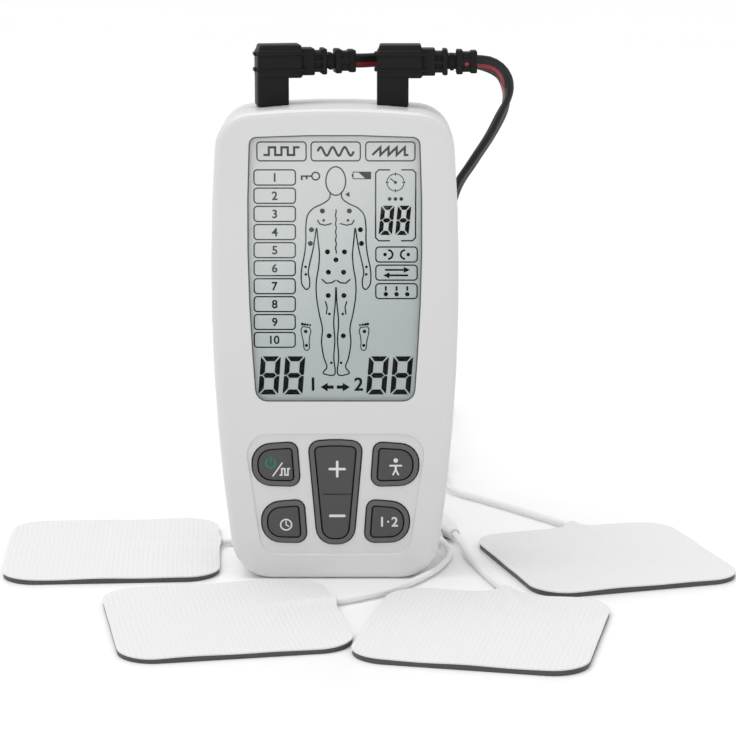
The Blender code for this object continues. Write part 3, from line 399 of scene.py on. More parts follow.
def bundle_place(turn):
    """How far out and how high the lead lies in its bundle after so many turns."""
    index = min(int(turn), LAST_TURN)
    crossing = min(1.0, max(0.0, (turn - index - CROSSING_START) / CROSSING_TURNS))
    share = ease(crossing) if index < LAST_TURN else 0.0
    here, there = BUNDLE[index], BUNDLE[min(index + 1, LAST_TURN)]
    out, height = (a + (b - a) * share for a, b in zip(here, there))
    landing = max(0.0, 1 - turn / LANDING_TURNS)
    return out + LANDING_OUT * landing**1.5, height + LANDING_RISE * landing


def coil_knots(centre, leave):
    """The wound part of a lead in millimetres: eight turns, then the tail through the middle."""
    way_out = math.atan2(leave.y - centre.y, leave.x - centre.x)
    start = math.radians(FIRST_ANGLE)
    end = way_out + math.pi / 2 + 2 * math.pi * len(BUNDLE)
    knots = []
    for step in range(1, COIL_STEPS):
        angle = start + (end - start) * step / COIL_STEPS
        turn = (angle - start) / (2 * math.pi)
        out, height = bundle_place(turn)
        away = math.remainder(angle - way_out, 2 * math.pi)
        height += HUMP_HEIGHT * math.exp(-((away / HUMP_ANGLE) ** 2)) * (turn < HUMP_END)
        spread = COIL_RADIUS + out
        knots.append(centre + Vector((spread * math.cos(angle), spread * math.sin(angle), height)))
    turn_way = Matrix.Rotation(way_out, 3, "Z")
    half = (COIL_RADIUS + BUNDLE[-1][0]) / 2
    tail = []
    for step in range(TAIL_STEPS + 1):
        angle = math.pi * (0.5 + step / TAIL_STEPS)
        tail.append((half * math.cos(angle), half + half * math.sin(angle), TAIL_HEIGHT))
    tail += [(out, 0, TAIL_HEIGHT) for out in TAIL_PLACES]
    knots += [centre + turn_way @ Vector(place) for place in tail]
    return [*knots, *(leave + Vector((0, before, 0)) for before in YOKE_ENTRIES)]


# %% [markdown]
# The section's wide side has to know where to point all along the line. It is carried along without
# twisting first; then a half turn is added in the bend and the rest behind the unit.

# %% Section and twist
LOBE_STEPS = 8
LOBE_SWEEP = 250
STRIPE_SIDES = (10, 11)
BEND_START = 34.5 * MM
TWIST_STEPS = 12
HIDDEN_START = 24.0 * MM


def twin_section():
    """Two round lobes side by side, as pairs: along the wide side, and through the thickness."""
    section = []
    for side in (1, -1):
        for step in range(LOBE_STEPS + 1):
            angle = math.radians(LOBE_SWEEP * (step / LOBE_STEPS - 0.5))
            wide = LOBE_OFFSET + LOBE_RADIUS * math.cos(angle)
            section.append((side * wide, side * LOBE_RADIUS * math.sin(angle)))
    return section


def share_done(index, start, end):
    """How much of a change from start to end is done at an index, from 0 to 1."""
    return ease(min(1.0, max(0.0, (index - start) / (end - start))))


def wide_ways(line, first, settled):
    """The section's wide direction: half turned at the bend, and upright from settled on."""
    aheads = [(b - a).normalized() for a, b in zip([line[0], *line], [*line[1:], line[-1]])]
    ways = [first]
    for ahead in aheads[1:]:
        ways.append((ways[-1] - ahead * ways[-1].dot(ahead)).normalized())
    uprights = [(UP - ahead * UP.dot(ahead)).normalized() for ahead in aheads]
    bend = next(index for index, point in enumerate(line) if point.x > BEND_START)
    hidden = next(index for index, point in enumerate(line) if point.y > HIDDEN_START)
    way, upright = ways[settled], uprights[settled]
    turned = math.atan2(aheads[settled].dot(way.cross(upright)), way.dot(upright))
    rest = math.remainder(turned - math.pi, 2 * math.pi)
    for index, ahead in enumerate(aheads[:settled]):
        angle = math.pi * share_done(index, bend, bend + TWIST_STEPS)
        angle += rest * share_done(index, hidden, settled)
        ways[index] = Matrix.Rotation(angle, 3, ahead) @ ways[index]
    return ways[:settled] + uprights[settled:]


# %% Twin leads
DROP_SPACING = 1.6 * MM
COIL_SPACING = 2.2 * MM
LEAD_SHARP_ANGLE = 70
lead_lines = {}
for side, route in LEAD_ROUTES.items():
    drop = smooth_line(in_metres(route), DROP_SPACING)
    coil = in_metres(coil_knots(COIL_CENTRES[side], YOKE_BACKS[side]))
    wound = smooth_line([drop[-1], *coil], COIL_SPACING)
    line = drop + wound[1:]
    lead_lines[side] = line
    section = twin_section()
    bm = sweep(line, wide_ways(line, UP, len(drop)), section)
    bm.faces.ensure_lookup_table()
    for index, face in enumerate(bm.faces):
        if len(face.verts) == 4 and index % len(section) in STRIPE_SIDES:
            face.material_index = 1
    mesh = smooth_mesh(bm, f"twin_lead_{side}", LEAD_SHARP_ANGLE)
    lead = add_piece(f"twin_lead_{side}", mesh, (VINYL, STRIPE), "unit")
    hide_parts(f"lead_{side}", f"lead_coil_{side}")
    print(lead.name, round(length_of(line), 3), "m")

# %% [markdown]
# ## The right-angle plugs
# Each lead ends in a moulded right-angle plug: a stem that stands in the jack, a head with a domed
# lid and two grip rails, a stepped block, a thin neck and a slotted strain relief. The moulding is
# built from softened blocks that overlap, because its steps are what catches the light.

# %% Softened blocks
BLOCK_SEGMENTS = 3


def soft_block(bm, low, high, radius, inset=(0.0, 0.0)):
    """A block between two corners with rounded edges. Inset narrows its top, left and right."""
    low, high = Vector(low), Vector(high)
    made = bmesh.ops.create_cube(bm, size=1)["verts"]
    for vert in made:
        share = vert.co + Vector((0.5, 0.5, 0.5))
        vert.co = [a + (b - a) * s for a, b, s in zip(low, high, share)]
        if share.z > 0.5:
            vert.co.x += inset[0] if share.x < 0.5 else -inset[1]
            vert.co.y += max(inset) / 2 if share.y < 0.5 else -max(inset) / 2
    edges = list({edge for vert in made for edge in vert.link_edges})
    bmesh.ops.bevel(bm, geom=edges, offset=radius, segments=BLOCK_SEGMENTS, affect="EDGES", profile=0.5)


# %% [markdown]
# A plug is made round its stem, which stands at x = 0 and y = 0. Everything right of the head lies
# on one level axis, so those blocks are given by where they start and end along it, by their half
# depth and by their half height.

# %% Plugs
PLUG_PLACES = {"a": (-14.25, 9.1), "b": (12.95, 0.0)}
PLUG_AXIS = 117.3
PLUG_SHARP_ANGLE = 50
RAIL_OUT = 3.65
RAIL_HEIGHTS = (115.6, 119.1)
DEPTH_SHARE = 0.9
COLLARS = ((6.3, 9.5, 3.0), (9.2, 11.4, 2.35), (11.1, 12.3, 2.9))
RELIEF_RINGS = ((14.2, 15.7, 2.7), (15.4, 17.6, 2.2), (17.3, 18.9, 2.5))


def axis_block(bm, start, end, depth, height, radius, middle=0.0):
    """A softened block along the plug's level axis. Depth and height are half sizes."""
    level = PLUG_AXIS + middle
    soft_block(bm, (start, -depth, level - height), (end, depth, level + height), radius)


def plug_mesh(name):
    """A plug round its stem's axis, in millimetres turned into metres."""
    bm = bmesh.new()
    soft_block(bm, (-3.55, -3.4, 107.25), (3.55, 3.4, 115.0), 0.7)
    soft_block(bm, (-3.55, -3.6, 113.8), (6.65, 3.6, 120.1), 0.6)
    soft_block(bm, (-3.4, -3.45, 119.3), (6.5, 3.45, 121.2), 0.35, (0.5, 0.15))
    for height in RAIL_HEIGHTS:
        for y in (-RAIL_OUT, RAIL_OUT):
            soft_block(bm, (-3.8, y - 0.3, height - 0.22), (7.6, y + 0.3, height + 0.22), 0.15)
        soft_block(bm, (-4.15, -1.3, height - 0.45), (-3.2, 1.3, height + 0.45), 0.3)
    for start, end, half in COLLARS:
        axis_block(bm, start, end, half * DEPTH_SHARE, half, 0.35)
    for middle in (-1.75, 0.0, 1.75):
        axis_block(bm, 9.2, 11.6, 2.6, 0.35, 0.15, middle)
    axis_block(bm, 12.0, 14.6, 1.5, 1.6, 0.4)
    for middle in (-1.5, 1.5):
        axis_block(bm, 12.8, 13.7, 1.8, 0.4, 0.25, middle)
    for start, end, half in RELIEF_RINGS:
        axis_block(bm, start, end, half * DEPTH_SHARE, half, 0.35)
    axis_block(bm, 15.3, 17.8, 2.35, 0.75, 0.3)
    bmesh.ops.scale(bm, vec=(MM, MM, MM), verts=bm.verts)
    return smooth_mesh(bm, name, PLUG_SHARP_ANGLE)


for side, (across, turn) in PLUG_PLACES.items():
    place = Matrix.Translation((across * MM, 0, 0)) @ Matrix.Rotation(math.radians(turn), 4, "Z")
    name = f"right_angle_plug_{side}"
    plug = add_piece(name, plug_mesh(name), (BLACK,), "unit", place)
    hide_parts(f"lead_plug_{side}")
print("plugs:", len(PLUG_PLACES), "corners each", len(plug.data.vertices))

# %% The red dot that marks the second plug
DOT_RADIUS = 0.45 * MM
DOT_CENTRE = Vector((29.5, -2.37, 116.9)) * MM
bm = bmesh.new()
bmesh.ops.create_circle(bm, cap_ends=True, radius=DOT_RADIUS, segments=24)
dot_place = Matrix.Translation(DOT_CENTRE) @ Matrix.Rotation(math.pi / 2, 4, "X")
dot_mesh = bpy.data.meshes.new("channel_dot")
bm.to_mesh(dot_mesh)
bm.free()
add_piece("channel_dot", dot_mesh, (STRIPE,), "unit", dot_place)
print("dot:", 2 * DOT_RADIUS / MM, "mm across")

# %% [markdown]
# ### Legs and pad wires
# Behind the unit each twin lead splits at a small yoke into two single legs, each with a pin plug.
# A pad's wire is white; it starts between the pad's cloth and its gel and ends in a soft socket
# that takes the pin. Both are round, so a curve with a bevel is exact.

# %% Routes of the round wires
LEG_DIAMETER = 1.8
PAD_WIRE_DIAMETER = 1.6
WIRE_SPACING = 1.0 * MM
PIN_HEIGHT = 2.3
SOCKETS = {
    1: (-13.5, 22.5, 80.0),
    2: (24.3, 14.0, 107.5),
    3: (28.3, 17.8, 105.0),
    4: (26.7, 70.0, 93.0),
}
PIN_TAIL_REACH = 30.3
SOCKET_NOSE_REACH = -0.3
LEG_ROUTES = {
    1: ((-7.4, 58.0, 1.5), (-3.4, 68.0, 1.2), (-0.7, 77.0, 1.6), (0.3, 86.5, 2.0)),
    2: ((13.6, 50.0, 1.5), (9.8, 60.0, 1.2), (5.6, 70.0, 1.2), (3.8, 79.0, 1.6), (3.5, 86.5, 2.0)),
    3: (
        (20.2, 54.0, 1.5), (20.3, 70.0, 1.2), (20.0, 86.0, 1.2), (19.6, 102.0, 1.2),
        (19.3, 118.0, 1.2), (19.2, 127.0, 1.6), (19.2, 134.4, 2.0),
    ),
    4: ((25.0, 108.0, 1.5), (24.4, 118.0, 1.2), (22.9, 127.0, 1.5), (22.3, 134.4, 2.0)),
}
WIRE_ROUTES = {
    1: (
        (-44.0, 14.2, 0.9), (-36.0, 14.8, 1.1), (-27.5, 15.4, 1.15),
        (-23.5, 15.8, 1.1), (-18.5, 17.0, 1.3), (-15.0, 19.2, 2.0),
    ),
    2: (
        (-12.0, -35.6, 0.9), (-5.0, -34.0, 1.1), (0.3, -32.5, 1.2), (6.2, -29.0, 1.1),
        (12.4, -24.0, 1.1), (18.3, -16.5, 1.1), (22.9, -8.3, 1.1), (25.8, 0.0, 1.1),
        (26.7, 6.0, 1.3), (25.7, 10.6, 1.9),
    ),
    3: (
        (41.0, -38.0, 0.9), (40.0, -32.0, 1.15), (38.7, -27.0, 1.2), (36.6, -19.5, 1.1),
        (33.6, -8.5, 1.1), (31.0, 4.0, 1.1), (29.5, 12.5, 1.8),
    ),
    4: (
        (62.0, 16.5, 0.9), (60.0, 22.5, 1.15), (58.0, 28.0, 1.2), (53.0, 34.8, 1.1), (47.6, 41.6, 1.1),
        (42.0, 48.6, 1.1), (36.0, 55.5, 1.1), (31.0, 61.0, 1.2), (28.0, 65.5, 1.8),
    ),
}
print("legs:", len(LEG_ROUTES), "pad wires:", len(WIRE_ROUTES))

# %% Helpers for round wires


def wire(name, knots, diameter, material):
    """A round wire along the knots, given in millimetres, as a curve with a bevel."""
    line = smooth_line(in_metres(knots), WIRE_SPACING)
    data = bpy.data.curves.new(name, "CURVE")
    data.dimensions = "3D"
    data.bevel_depth = diameter * MM / 2
    data.bevel_resolution = 5
    data.use_fill_caps = True
    spline = data.splines.new("POLY")
    spline.points.add(len(line) - 1)
    for point, place in zip(spline.points, line):
        point.co = (*place, 1)
    return add_piece(name, data, (material,), "unit"), line


def along_socket(number, reach):
    """A place on a socket's axis, reach millimetres behind its nose, at the pin's height."""
    x, y, heading = SOCKETS[number]
    heading = math.radians(heading)
    return (x + reach * math.cos(heading), y + reach * math.sin(heading), PIN_HEIGHT)


# %% Legs
for number, route in LEG_ROUTES.items():
    knots = (along_socket(number, PIN_TAIL_REACH), *route)
    leg, line = wire(f"leg_wire_{number}", knots[::-1], LEG_DIAMETER, VINYL)
    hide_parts(f"lead_leg_{number}")

# %% Pad wires
electrode_lines = {}
for number, route in WIRE_ROUTES.items():
    knots = (*route, along_socket(number, SOCKET_NOSE_REACH))
    lead, line = wire(f"electrode_wire_{number}", knots, PAD_WIRE_DIAMETER, WIRE)
    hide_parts(f"pad_wire_{number}")
    electrode_lines[number] = line
    print(lead.name, round(length_of(line), 4), "m")
for side, line in lead_lines.items():
    lead = bpy.data.objects[f"twin_lead_{side}"]

# %% [markdown]
# ## The pads
# A pad is a dark conductive gel layer under a white cloth. The real one is die cut from a laminate,
# and the wire's bare end lies between the layers, so the cloth rises over it in a ridge. A pad
# peeled and laid down is never flat: its rim waves a little. Both layers are built from the same
# rings of points, with one height formula for the waves and the ridge.

# %% Places and heights of the pads
PAD_HALF = 25.0
PAD_CORNER = 8.0
GEL_INSET = 0.15
GEL_BULGE = 0.2
GEL_TOP = 0.95
LAYER_GAP = 0.06
CLOTH_THICKNESS = 0.3
WIRE_PRESS = 0.85
WIRE_RISE = 0.95
PHASE_STEP = 1.3
PAD_NAMES = ("place", "entry", "reach", "bulge", "fan")
PAD_VALUES = {
    1: ((-53.0, 9.3, 3.7), (25.8, 4.4, 180.5), 27.0, 0.6, 3.2),
    2: ((-23.6, -44.6, 10.8), (25.7, 7.4, 183.3), 26.0, 0.8, 4.0),
    3: ((32.1, -52.0, -12.1), (1.2, 25.8, 294.0), 22.0, 4.0, 5.0),
    4: ((63.1, 2.6, 16.2), (2.2, 25.8, 273.0), 23.0, 3.0, 5.5),
}
PADS = {number: dict(zip(PAD_NAMES, values)) for number, values in PAD_VALUES.items()}
print("pads:", {number: pad["place"] for number, pad in PADS.items()})

# %% Outline of a pad
CORNER_STEPS = 12


def rounded_square(half, corner, count):
    """Points evenly spaced round a square with rounded corners, as an array."""
    points = []
    for quarter in range(4):
        start = math.pi / 2 * quarter
        centre = Vector((half - corner, half - corner)) @ Matrix.Rotation(-start, 2)
        for step in range(CORNER_STEPS + 1):
            angle = start + math.pi / 2 * step / CORNER_STEPS
            points.append((centre.x + corner * math.cos(angle), centre.y + corner * math.sin(angle)))
    points = np.array([*points, points[0]])
    travelled = np.cumsum([0, *np.hypot(*np.diff(points, axis=0).T)])
    wanted = np.linspace(0, travelled[-1], count, endpoint=False)
    return np.stack([np.interp(wanted, travelled, column) for column in points.T], 1)


# %% [markdown]
# The height formula works in the pad's own places. The ridge follows the wire inwards from the
# point where it enters and fades out at its reach. Beside it the cloth fans out in small creases,
# and the rim waves more than the middle.

# %% Heights of a pad
RIDGE_WIDTH = 1.75
RIDGE_CAP = 1.1
FAN_RISE = 0.55
FAN_SPREAD = 1.3
CREASE_HEIGHT = 0.09
WAVE_HEIGHT = 0.07
RIM_WAVE_HEIGHT = 0.05
LIFT = 0.12


def pad_rises(places, pad, phase):
    """The ridge over the wire and the waves of a pad, both in millimetres, at an array of places."""
    x, y = places[:, 0], places[:, 1]
    entry_x, entry_y, heading = pad["entry"]
    heading = math.radians(heading)
    inwards = (x - entry_x) * math.cos(heading) + (y - entry_y) * math.sin(heading)
    across = -(x - entry_x) * math.sin(heading) + (y - entry_y) * math.cos(heading)
    fade = ease(np.clip(1 - inwards / pad["reach"], 0, 1))
    lumps = 1 + 0.10 * np.sin(inwards * 1.9 + phase) + 0.06 * np.sin(inwards * 3.1 + across)
    ridge = np.exp(-((across / RIDGE_WIDTH) ** 2)) * fade * lumps
    fan = np.exp(-((across / (pad["fan"] * (FAN_SPREAD - fade))) ** 2)) * fade
    creases = CREASE_HEIGHT * np.sin(across * 2.4 + phase) * fan * (1 - ridge)
    rim = np.clip(np.maximum(abs(x), abs(y)) / PAD_HALF, 0, 1) ** 6
    waves = WAVE_HEIGHT * np.sin(x * 0.21 + phase) * np.cos(y * 0.17 - phase)
    rim_waves = WAVE_HEIGHT * np.sin(x * 0.33 + 2 * phase) + RIM_WAVE_HEIGHT * np.sin(y * 0.42 + phase)
    waves += rim * rim_waves
    return np.clip(ridge, 0, RIDGE_CAP), FAN_RISE * fan + creases, waves + LIFT


# %% Layers and rings
LAYER_SHARP_ANGLE = 50
OUTLINE_POINTS = 240
RIM_SHARES = [1 - 0.004 * k for k in range(3)]
INNER_SHARES = list(np.linspace(0.975, 0.03, 42))
BULGE_WIDTH = 3.6
BULGE_POWER = 1.5
BULGE_FADE = 8


def pad_layer(name, rings, tops, bottoms):
    """A closed thin layer. Rings run from the rim inwards; the last one holds one point."""
    count = len(rings[0])
    flat = np.concatenate(rings)
    total = len(flat)
    points = np.concatenate([np.c_[flat, tops], np.c_[flat, bottoms]])
    faces = []
    for ring in range(len(rings) - 2):
        for k in range(count):
            a, b = ring * count + k, ring * count + (k + 1) % count
            faces.append((a, b, b + count, a + count))
            faces.append((a + count + total, b + count + total, b + total, a + total))
    last = (len(rings) - 2) * count
    for k in range(count):
        a, b = last + k, last + (k + 1) % count
        faces.append((a, b, total - 1))
        faces.append((b + total, a + total, 2 * total - 1))
        faces.append((k + total, (k + 1) % count + total, (k + 1) % count, k))
    mesh = bpy.data.meshes.new(name)
    mesh.from_pydata(points * MM, [], faces)
    mesh.polygons.foreach_set("use_smooth", [True] * len(mesh.polygons))
    mesh.set_sharp_from_angle(angle=math.radians(LAYER_SHARP_ANGLE))
    return mesh


def pad_rings(half, corner, pad, bulge):
    """Rings of places from the rim to the middle, with the rim pushed out where the wire leaves."""
    outline = rounded_square(half, corner, OUTLINE_POINTS)
    entry_x, entry_y, heading = pad["entry"]
    out = np.array([-math.cos(math.radians(heading)), -math.sin(math.radians(heading))])
    across = (outline - (entry_x, entry_y)) @ np.array([-out[1], out[0]])
    ahead = (outline - (entry_x, entry_y)) @ out > -3
    push = bulge * np.exp(-((abs(across) / BULGE_WIDTH) ** BULGE_POWER)) * ahead
    shares = RIM_SHARES + INNER_SHARES
    rings = [outline * share + np.outer(push * share**BULGE_FADE, out) for share in shares]
    return [*rings, np.zeros((1, 2))]


# %% Pads
for number, pad in PADS.items():
    x, y, turn = pad["place"]
    place = Matrix.Translation(Vector((x, y, 0)) * MM) @ Matrix.Rotation(math.radians(turn), 4, "Z")
    rings = pad_rings(PAD_HALF - GEL_INSET, PAD_CORNER, pad, GEL_BULGE)
    ridge, fan, waves = pad_rises(np.concatenate(rings), pad, number * PHASE_STEP)
    tops = GEL_TOP + waves - WIRE_PRESS * ridge
    bottoms = np.clip(waves * 0.4 - 0.08, 0, 1)
    mesh = pad_layer(f"gel_layer_{number}", rings, tops, bottoms)
    gel = add_piece(f"gel_layer_{number}", mesh, (GEL,), "unit", place)
    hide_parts(f"pad_gel_{number}")
    rings = pad_rings(PAD_HALF, PAD_CORNER, pad, pad["bulge"])
    ridge, fan, waves = pad_rises(np.concatenate(rings), pad, number * PHASE_STEP)
    low = GEL_TOP + LAYER_GAP + waves + np.maximum(WIRE_RISE * ridge, fan)
    mesh = pad_layer(f"cloth_{number}", rings, low + CLOTH_THICKNESS, low)
    cloth = add_piece(f"cloth_{number}", mesh, (CLOTH,), "unit", place)
    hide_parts(f"pad_backing_{number}")
    line = electrode_lines[number]
    lead = bpy.data.objects[f"electrode_wire_{number}"]
print("pads:", len(PADS), "faces in a cloth:", len(mesh.polygons))

# %% [markdown]
# ## Printed and lit marks
# Ink on the keys and the segments of the display are flat shapes a few hundredths of a millimetre in
# front of their carrier. They are drawn with strokes, discs, rings and numerals in millimetres.

# %% Helpers for strokes and rings
SHARPEST_MITRE = 0.4
ARC_STEP = 12


def stroke(points, width, closed=False):
    """Quads along a line of (x, z) points, with mitred joins."""
    points = [Vector(p) for p in points]
    if closed:
        points = [points[-1], *points, points[0]]
    else:
        points = [2 * points[0] - points[1], *points, 2 * points[-1] - points[-2]]
    sides = []
    for before, here, after in zip(points, points[1:], points[2:]):
        into, out = (here - before).normalized(), (after - here).normalized()
        normal = Vector((-into.y - out.y, into.x + out.x)).normalized()
        reach = width / 2 / max(SHARPEST_MITRE, normal.dot(Vector((-out.y, out.x))))
        sides.append((here + normal * reach, here - normal * reach))
    afters = sides[1:] + sides[:1] if closed else sides[1:]
    return [[a[0], a[1], b[1], b[0]] for a, b in zip(sides, afters)]


def arc(centre, radius, start=0.0, end=360.0, tall=1.0):
    """Points on an arc, in degrees. Tall stretches it upwards."""
    count = max(6, int(abs(end - start) / ARC_STEP))
    angles = [math.radians(start + (end - start) * k / count) for k in range(count + 1)]
    x, z = centre
    return [(x + radius * math.cos(a), z + tall * radius * math.sin(a)) for a in angles]


def disc(centre, radius):
    return [arc(centre, radius)[:-1]]


def ring(centre, radius, width, tall=1.0):
    return stroke(arc(centre, radius, tall=tall)[:-1], width, closed=True)


def round_box(left, low, right, high, corner, width):
    points = []
    corners = ((right, low, -90), (right, high, 0), (left, high, 90), (left, low, 180))
    for x, z, start in corners:
        centre = (x + (corner if x == left else -corner), z + (corner if z == low else -corner))
        points += arc(centre, corner, start, start + 90)
    return stroke(points, width, closed=True)


def bar(start, end, width):
    """A straight stroke with round ends."""
    return [*stroke((start, end), width), *disc(start, width / 2), *disc(end, width / 2)]


# %% Helpers for numerals and segments
NUMERAL_WEIGHT = 0.022


def numerals(text, centre, height):
    """The faces of a short text, centred."""
    font = bpy.data.curves.new("numerals", "FONT")
    font.body = text
    font.offset = NUMERAL_WEIGHT
    holder = bpy.data.objects.new("numerals", font)
    mesh = bpy.data.meshes.new_from_object(holder)
    points = np.array([v.co[:2] for v in mesh.vertices])
    low, high = points.min(0), points.max(0)
    points = (points - (low + high) / 2) * height / (high[1] - low[1]) + centre
    shapes = [[Vector(points[k]) for k in face.vertices] for face in mesh.polygons]
    bpy.data.objects.remove(holder)
    bpy.data.curves.remove(font)
    bpy.data.meshes.remove(mesh)
    return shapes


def seven_segments(left, low, width, height, thick, lean=0.09):
    """An eight of seven separate segments with mitred ends, leaning to the right."""
    gap, cut = thick * 0.14, thick * 0.25
    half, under = height / 2, height - thick
    above, below = half + thick / 2, half - thick / 2
    side = [
        (0, height - gap - cut), (0, half + gap), (thick / 2, half + gap * 0.6),
        (thick, above + gap), (thick, under - gap * 1.6), (cut / 3, height - gap),
    ]
    start, end = thick + gap, width - thick - gap
    top = [(gap + cut, height), (width - gap - cut, height), (end, under), (start, under)]
    middle = [
        (thick / 2 + gap, half), (start, above), (end, above),
        (width - thick / 2 - gap, half), (end, below), (start, below),
    ]
    segments = [side, top, middle, [(x, height - z) for x, z in top], [(x, height - z) for x, z in side]]
    segments += [[(width - x, z) for x, z in side], [(width - x, height - z) for x, z in side]]
    return [[Vector((left + x + lean * z, low + z)) for x, z in shape] for shape in segments]


# %% [markdown]
# All marks of one ink become one mesh. Shapes that cross each other would flicker if they lay in
# the same plane, so each one is set a hair in front of the one before.

# %% Helper that prints marks
LAYER_STEP = 0.002
LAYERS = 7


def print_marks(name, shapes, level, material, body, scale=1.0, shift=(0.0, 0.0)):
    """One mesh of flat shapes at a height in front of the unit, facing -Y."""
    bm = bmesh.new()
    for index, shape in enumerate(shapes):
        depth = level - LAYER_STEP * (index % LAYERS)
        corners = [(x * scale + shift[0], depth, z * scale + shift[1]) for x, z in shape]
        face = bm.faces.new([bm.verts.new(corner) for corner in in_metres(corners)])
        face.normal_update()
        if face.normal.y > 0:
            face.normal_flip()
    mesh = bpy.data.meshes.new(name)
    bm.to_mesh(mesh)
    bm.free()
    return add_piece(name, mesh, (material,), body)


# %% [markdown]
# ### The display
# The liquid crystal is a pale grey-green mirror with every segment on: three programme boxes, ten
# numbered body-area boxes, a body seen from behind with its stimulation points, a clock with its
# two digits, three massage kinds, and two large two-digit intensities. The segments are painted greyer
# above a slanting line, and the film lighter towards the top left: both are painted reflection on the
# glass.

# %% Display materials


def diagonal_painted_reflection(name, dark, light, slope, middle, width, **constants):
    """A finish painted from dark to light along z minus slope times x, in millimetres: painted
    reflection.
    """
    material = moulded(name, dark, light, (0.5, 0.6), grain=2.0, depth=0.0002, **constants)
    tree = material.node_tree
    parts = tree.nodes.new("ShaderNodeSeparateXYZ")
    tree.links.new(tree.nodes.new("ShaderNodeTexCoord").outputs["Object"], parts.inputs[0])
    height = math_node(tree, "MULTIPLY_ADD", parts.outputs["X"], -slope, parts.outputs["Z"])
    share = tree.nodes.new("ShaderNodeMapRange")
    share.interpolation_type = "SMOOTHSTEP"
    share.inputs["From Min"].default_value = (middle - width / 2) * MM
    share.inputs["From Max"].default_value = (middle + width / 2) * MM
    tree.links.new(height, share.inputs["Value"])
    tree.links.new(share.outputs["Result"], tree.nodes["Mix"].inputs["Factor"])
    return material


# Segments: near black below a slanting line, painted greyer above it as painted reflection.
SEGMENT_WITH_PAINTED_REFLECTION = diagonal_painted_reflection("lcd_segments_painted_reflection", grey(0.0015), (0.09, 0.1, 0.105), 0.6, 79.0, 3.0,
                         Specular_IOR_Level=0.03)
# The film: its own grey-green, painted lighter towards the top left as painted reflection.
LCD_WITH_PAINTED_REFLECTION = diagonal_painted_reflection("lcd_mirror_painted_reflection", (0.54, 0.60, 0.61), (0.80, 0.83, 0.82), 0.55, 74.0, 52.0,
                     Specular_IOR_Level=0.1)
# A flat dark finish for the ring round the window: painted shade of the gap.
GAP_PAINTED_SHADE = moulded("window_gap_painted_shade", grey(0.1), grey(0.12), (0.6, 0.7), grain=2.0, depth=0.0)
LENS = moulded("window_plastic", grey(0.12), grey(0.14), (0.04, 0.08),
               grain=2.0, depth=0.0, Alpha=0.05, IOR=1.2)
print("display finishes:", SEGMENT_WITH_PAINTED_REFLECTION.name, LCD_WITH_PAINTED_REFLECTION.name, GAP_PAINTED_SHADE.name, LENS.name)

# %% [markdown]
# The programmes are shown by their pulse trains: square, round and toothed. Below them on the left
# is a column of ten numbered boxes. All boxes share one line width and one corner.

# %% Programme and area boxes
LINE = 0.29
BOX_CORNER = 0.75
BOX_HEIGHT = 3.4
AREA_PITCH = 4.08
MODE_LEFTS = (-17.2, -5.2, 6.9)
MODE_WIDTH = 10.9


def mode_icons():
    """Square, round and toothed pulse trains: the three programmes."""
    square = [(-4, -0.8), (-2.8, -0.8), (-2.8, 0.9), (-1.4, 0.9), (-1.4, -0.8), (0, -0.8), (0, 0.9)]
    square += [(1.4, 0.9), (1.4, -0.8), (2.8, -0.8), (2.8, 0.9), (4, 0.9)]
    steps = 48
    sine = [(-4 + 8 * k / steps, 0.95 * math.sin(k * math.pi / 8)) for k in range(steps + 1)]
    teeth = [(-4, -0.8), (-2.2, 0.9), (-2.2, -0.8), (-0.4, 0.9), (-0.4, -0.8), (1.4, 0.9), (1.4, -0.8)]
    teeth += [(3.2, 0.9), (3.2, -0.8), (4, -0.8)]
    shapes = []
    for left, icon in zip(MODE_LEFTS, (square, sine, teeth)):
        shapes += round_box(left, 96.4, left + MODE_WIDTH, 100.6, BOX_CORNER, LINE)
        middle = left + MODE_WIDTH / 2
        shapes += stroke([(middle + x, 98.5 + z) for x, z in icon], 0.5)
    return shapes


def area_boxes():
    """Ten boxes one below another with the numbers 1 to 10."""
    shapes = []
    for row in range(10):
        left, high = -17.9 - 0.03 * row, 94.4 - AREA_PITCH * row
        shapes += round_box(left, high - BOX_HEIGHT, left + 9.2, high, BOX_CORNER, LINE)
        shapes += numerals(str(row + 1), (left + 4.6, high - BOX_HEIGHT / 2), 1.95)
    return shapes


# %% [markdown]
# On the right are the clock with its two digits and three kinds of massage, each as a small sign.
# The two large intensities stand at the foot, with an arrow from the middle to each.

# %% Massage, timer and intensity
MASSAGE_TOPS = (77.1, 73.0, 68.8)
MASSAGE_MIDDLE = 13.8
SIGN_WIDTH = 0.42


def massage_boxes():
    """Kneading as two facing hooks, rubbing as two opposite arrows, tapping as three struck dots."""
    shapes = []
    for high in MASSAGE_TOPS:
        shapes += round_box(9.15, high - BOX_HEIGHT, 18.4, high, BOX_CORNER, LINE)
    for side in (-1, 1):
        hook = arc((MASSAGE_MIDDLE + side * 1.9, 75.4), 1.0, 90, 270 if side > 0 else -90)
        shapes += stroke(hook, SIGN_WIDTH) + disc((MASSAGE_MIDDLE + side * 2.6, 75.4), 0.4)
        tip, back = MASSAGE_MIDDLE + side * 3.0, MASSAGE_MIDDLE + side * 1.6
        level = 71.3 + side * 0.62
        shapes += stroke([(MASSAGE_MIDDLE - side * 2.6, level), (back, level)], SIGN_WIDTH)
        shapes.append([(tip, level), (back, level + 0.68), (back, level - 0.68)])
    for x in (MASSAGE_MIDDLE - 2.4, MASSAGE_MIDDLE, MASSAGE_MIDDLE + 2.4):
        shapes += disc((x, 66.4), 0.5) + stroke([(x, 67.2), (x, 68.2)], SIGN_WIDTH)
    return shapes


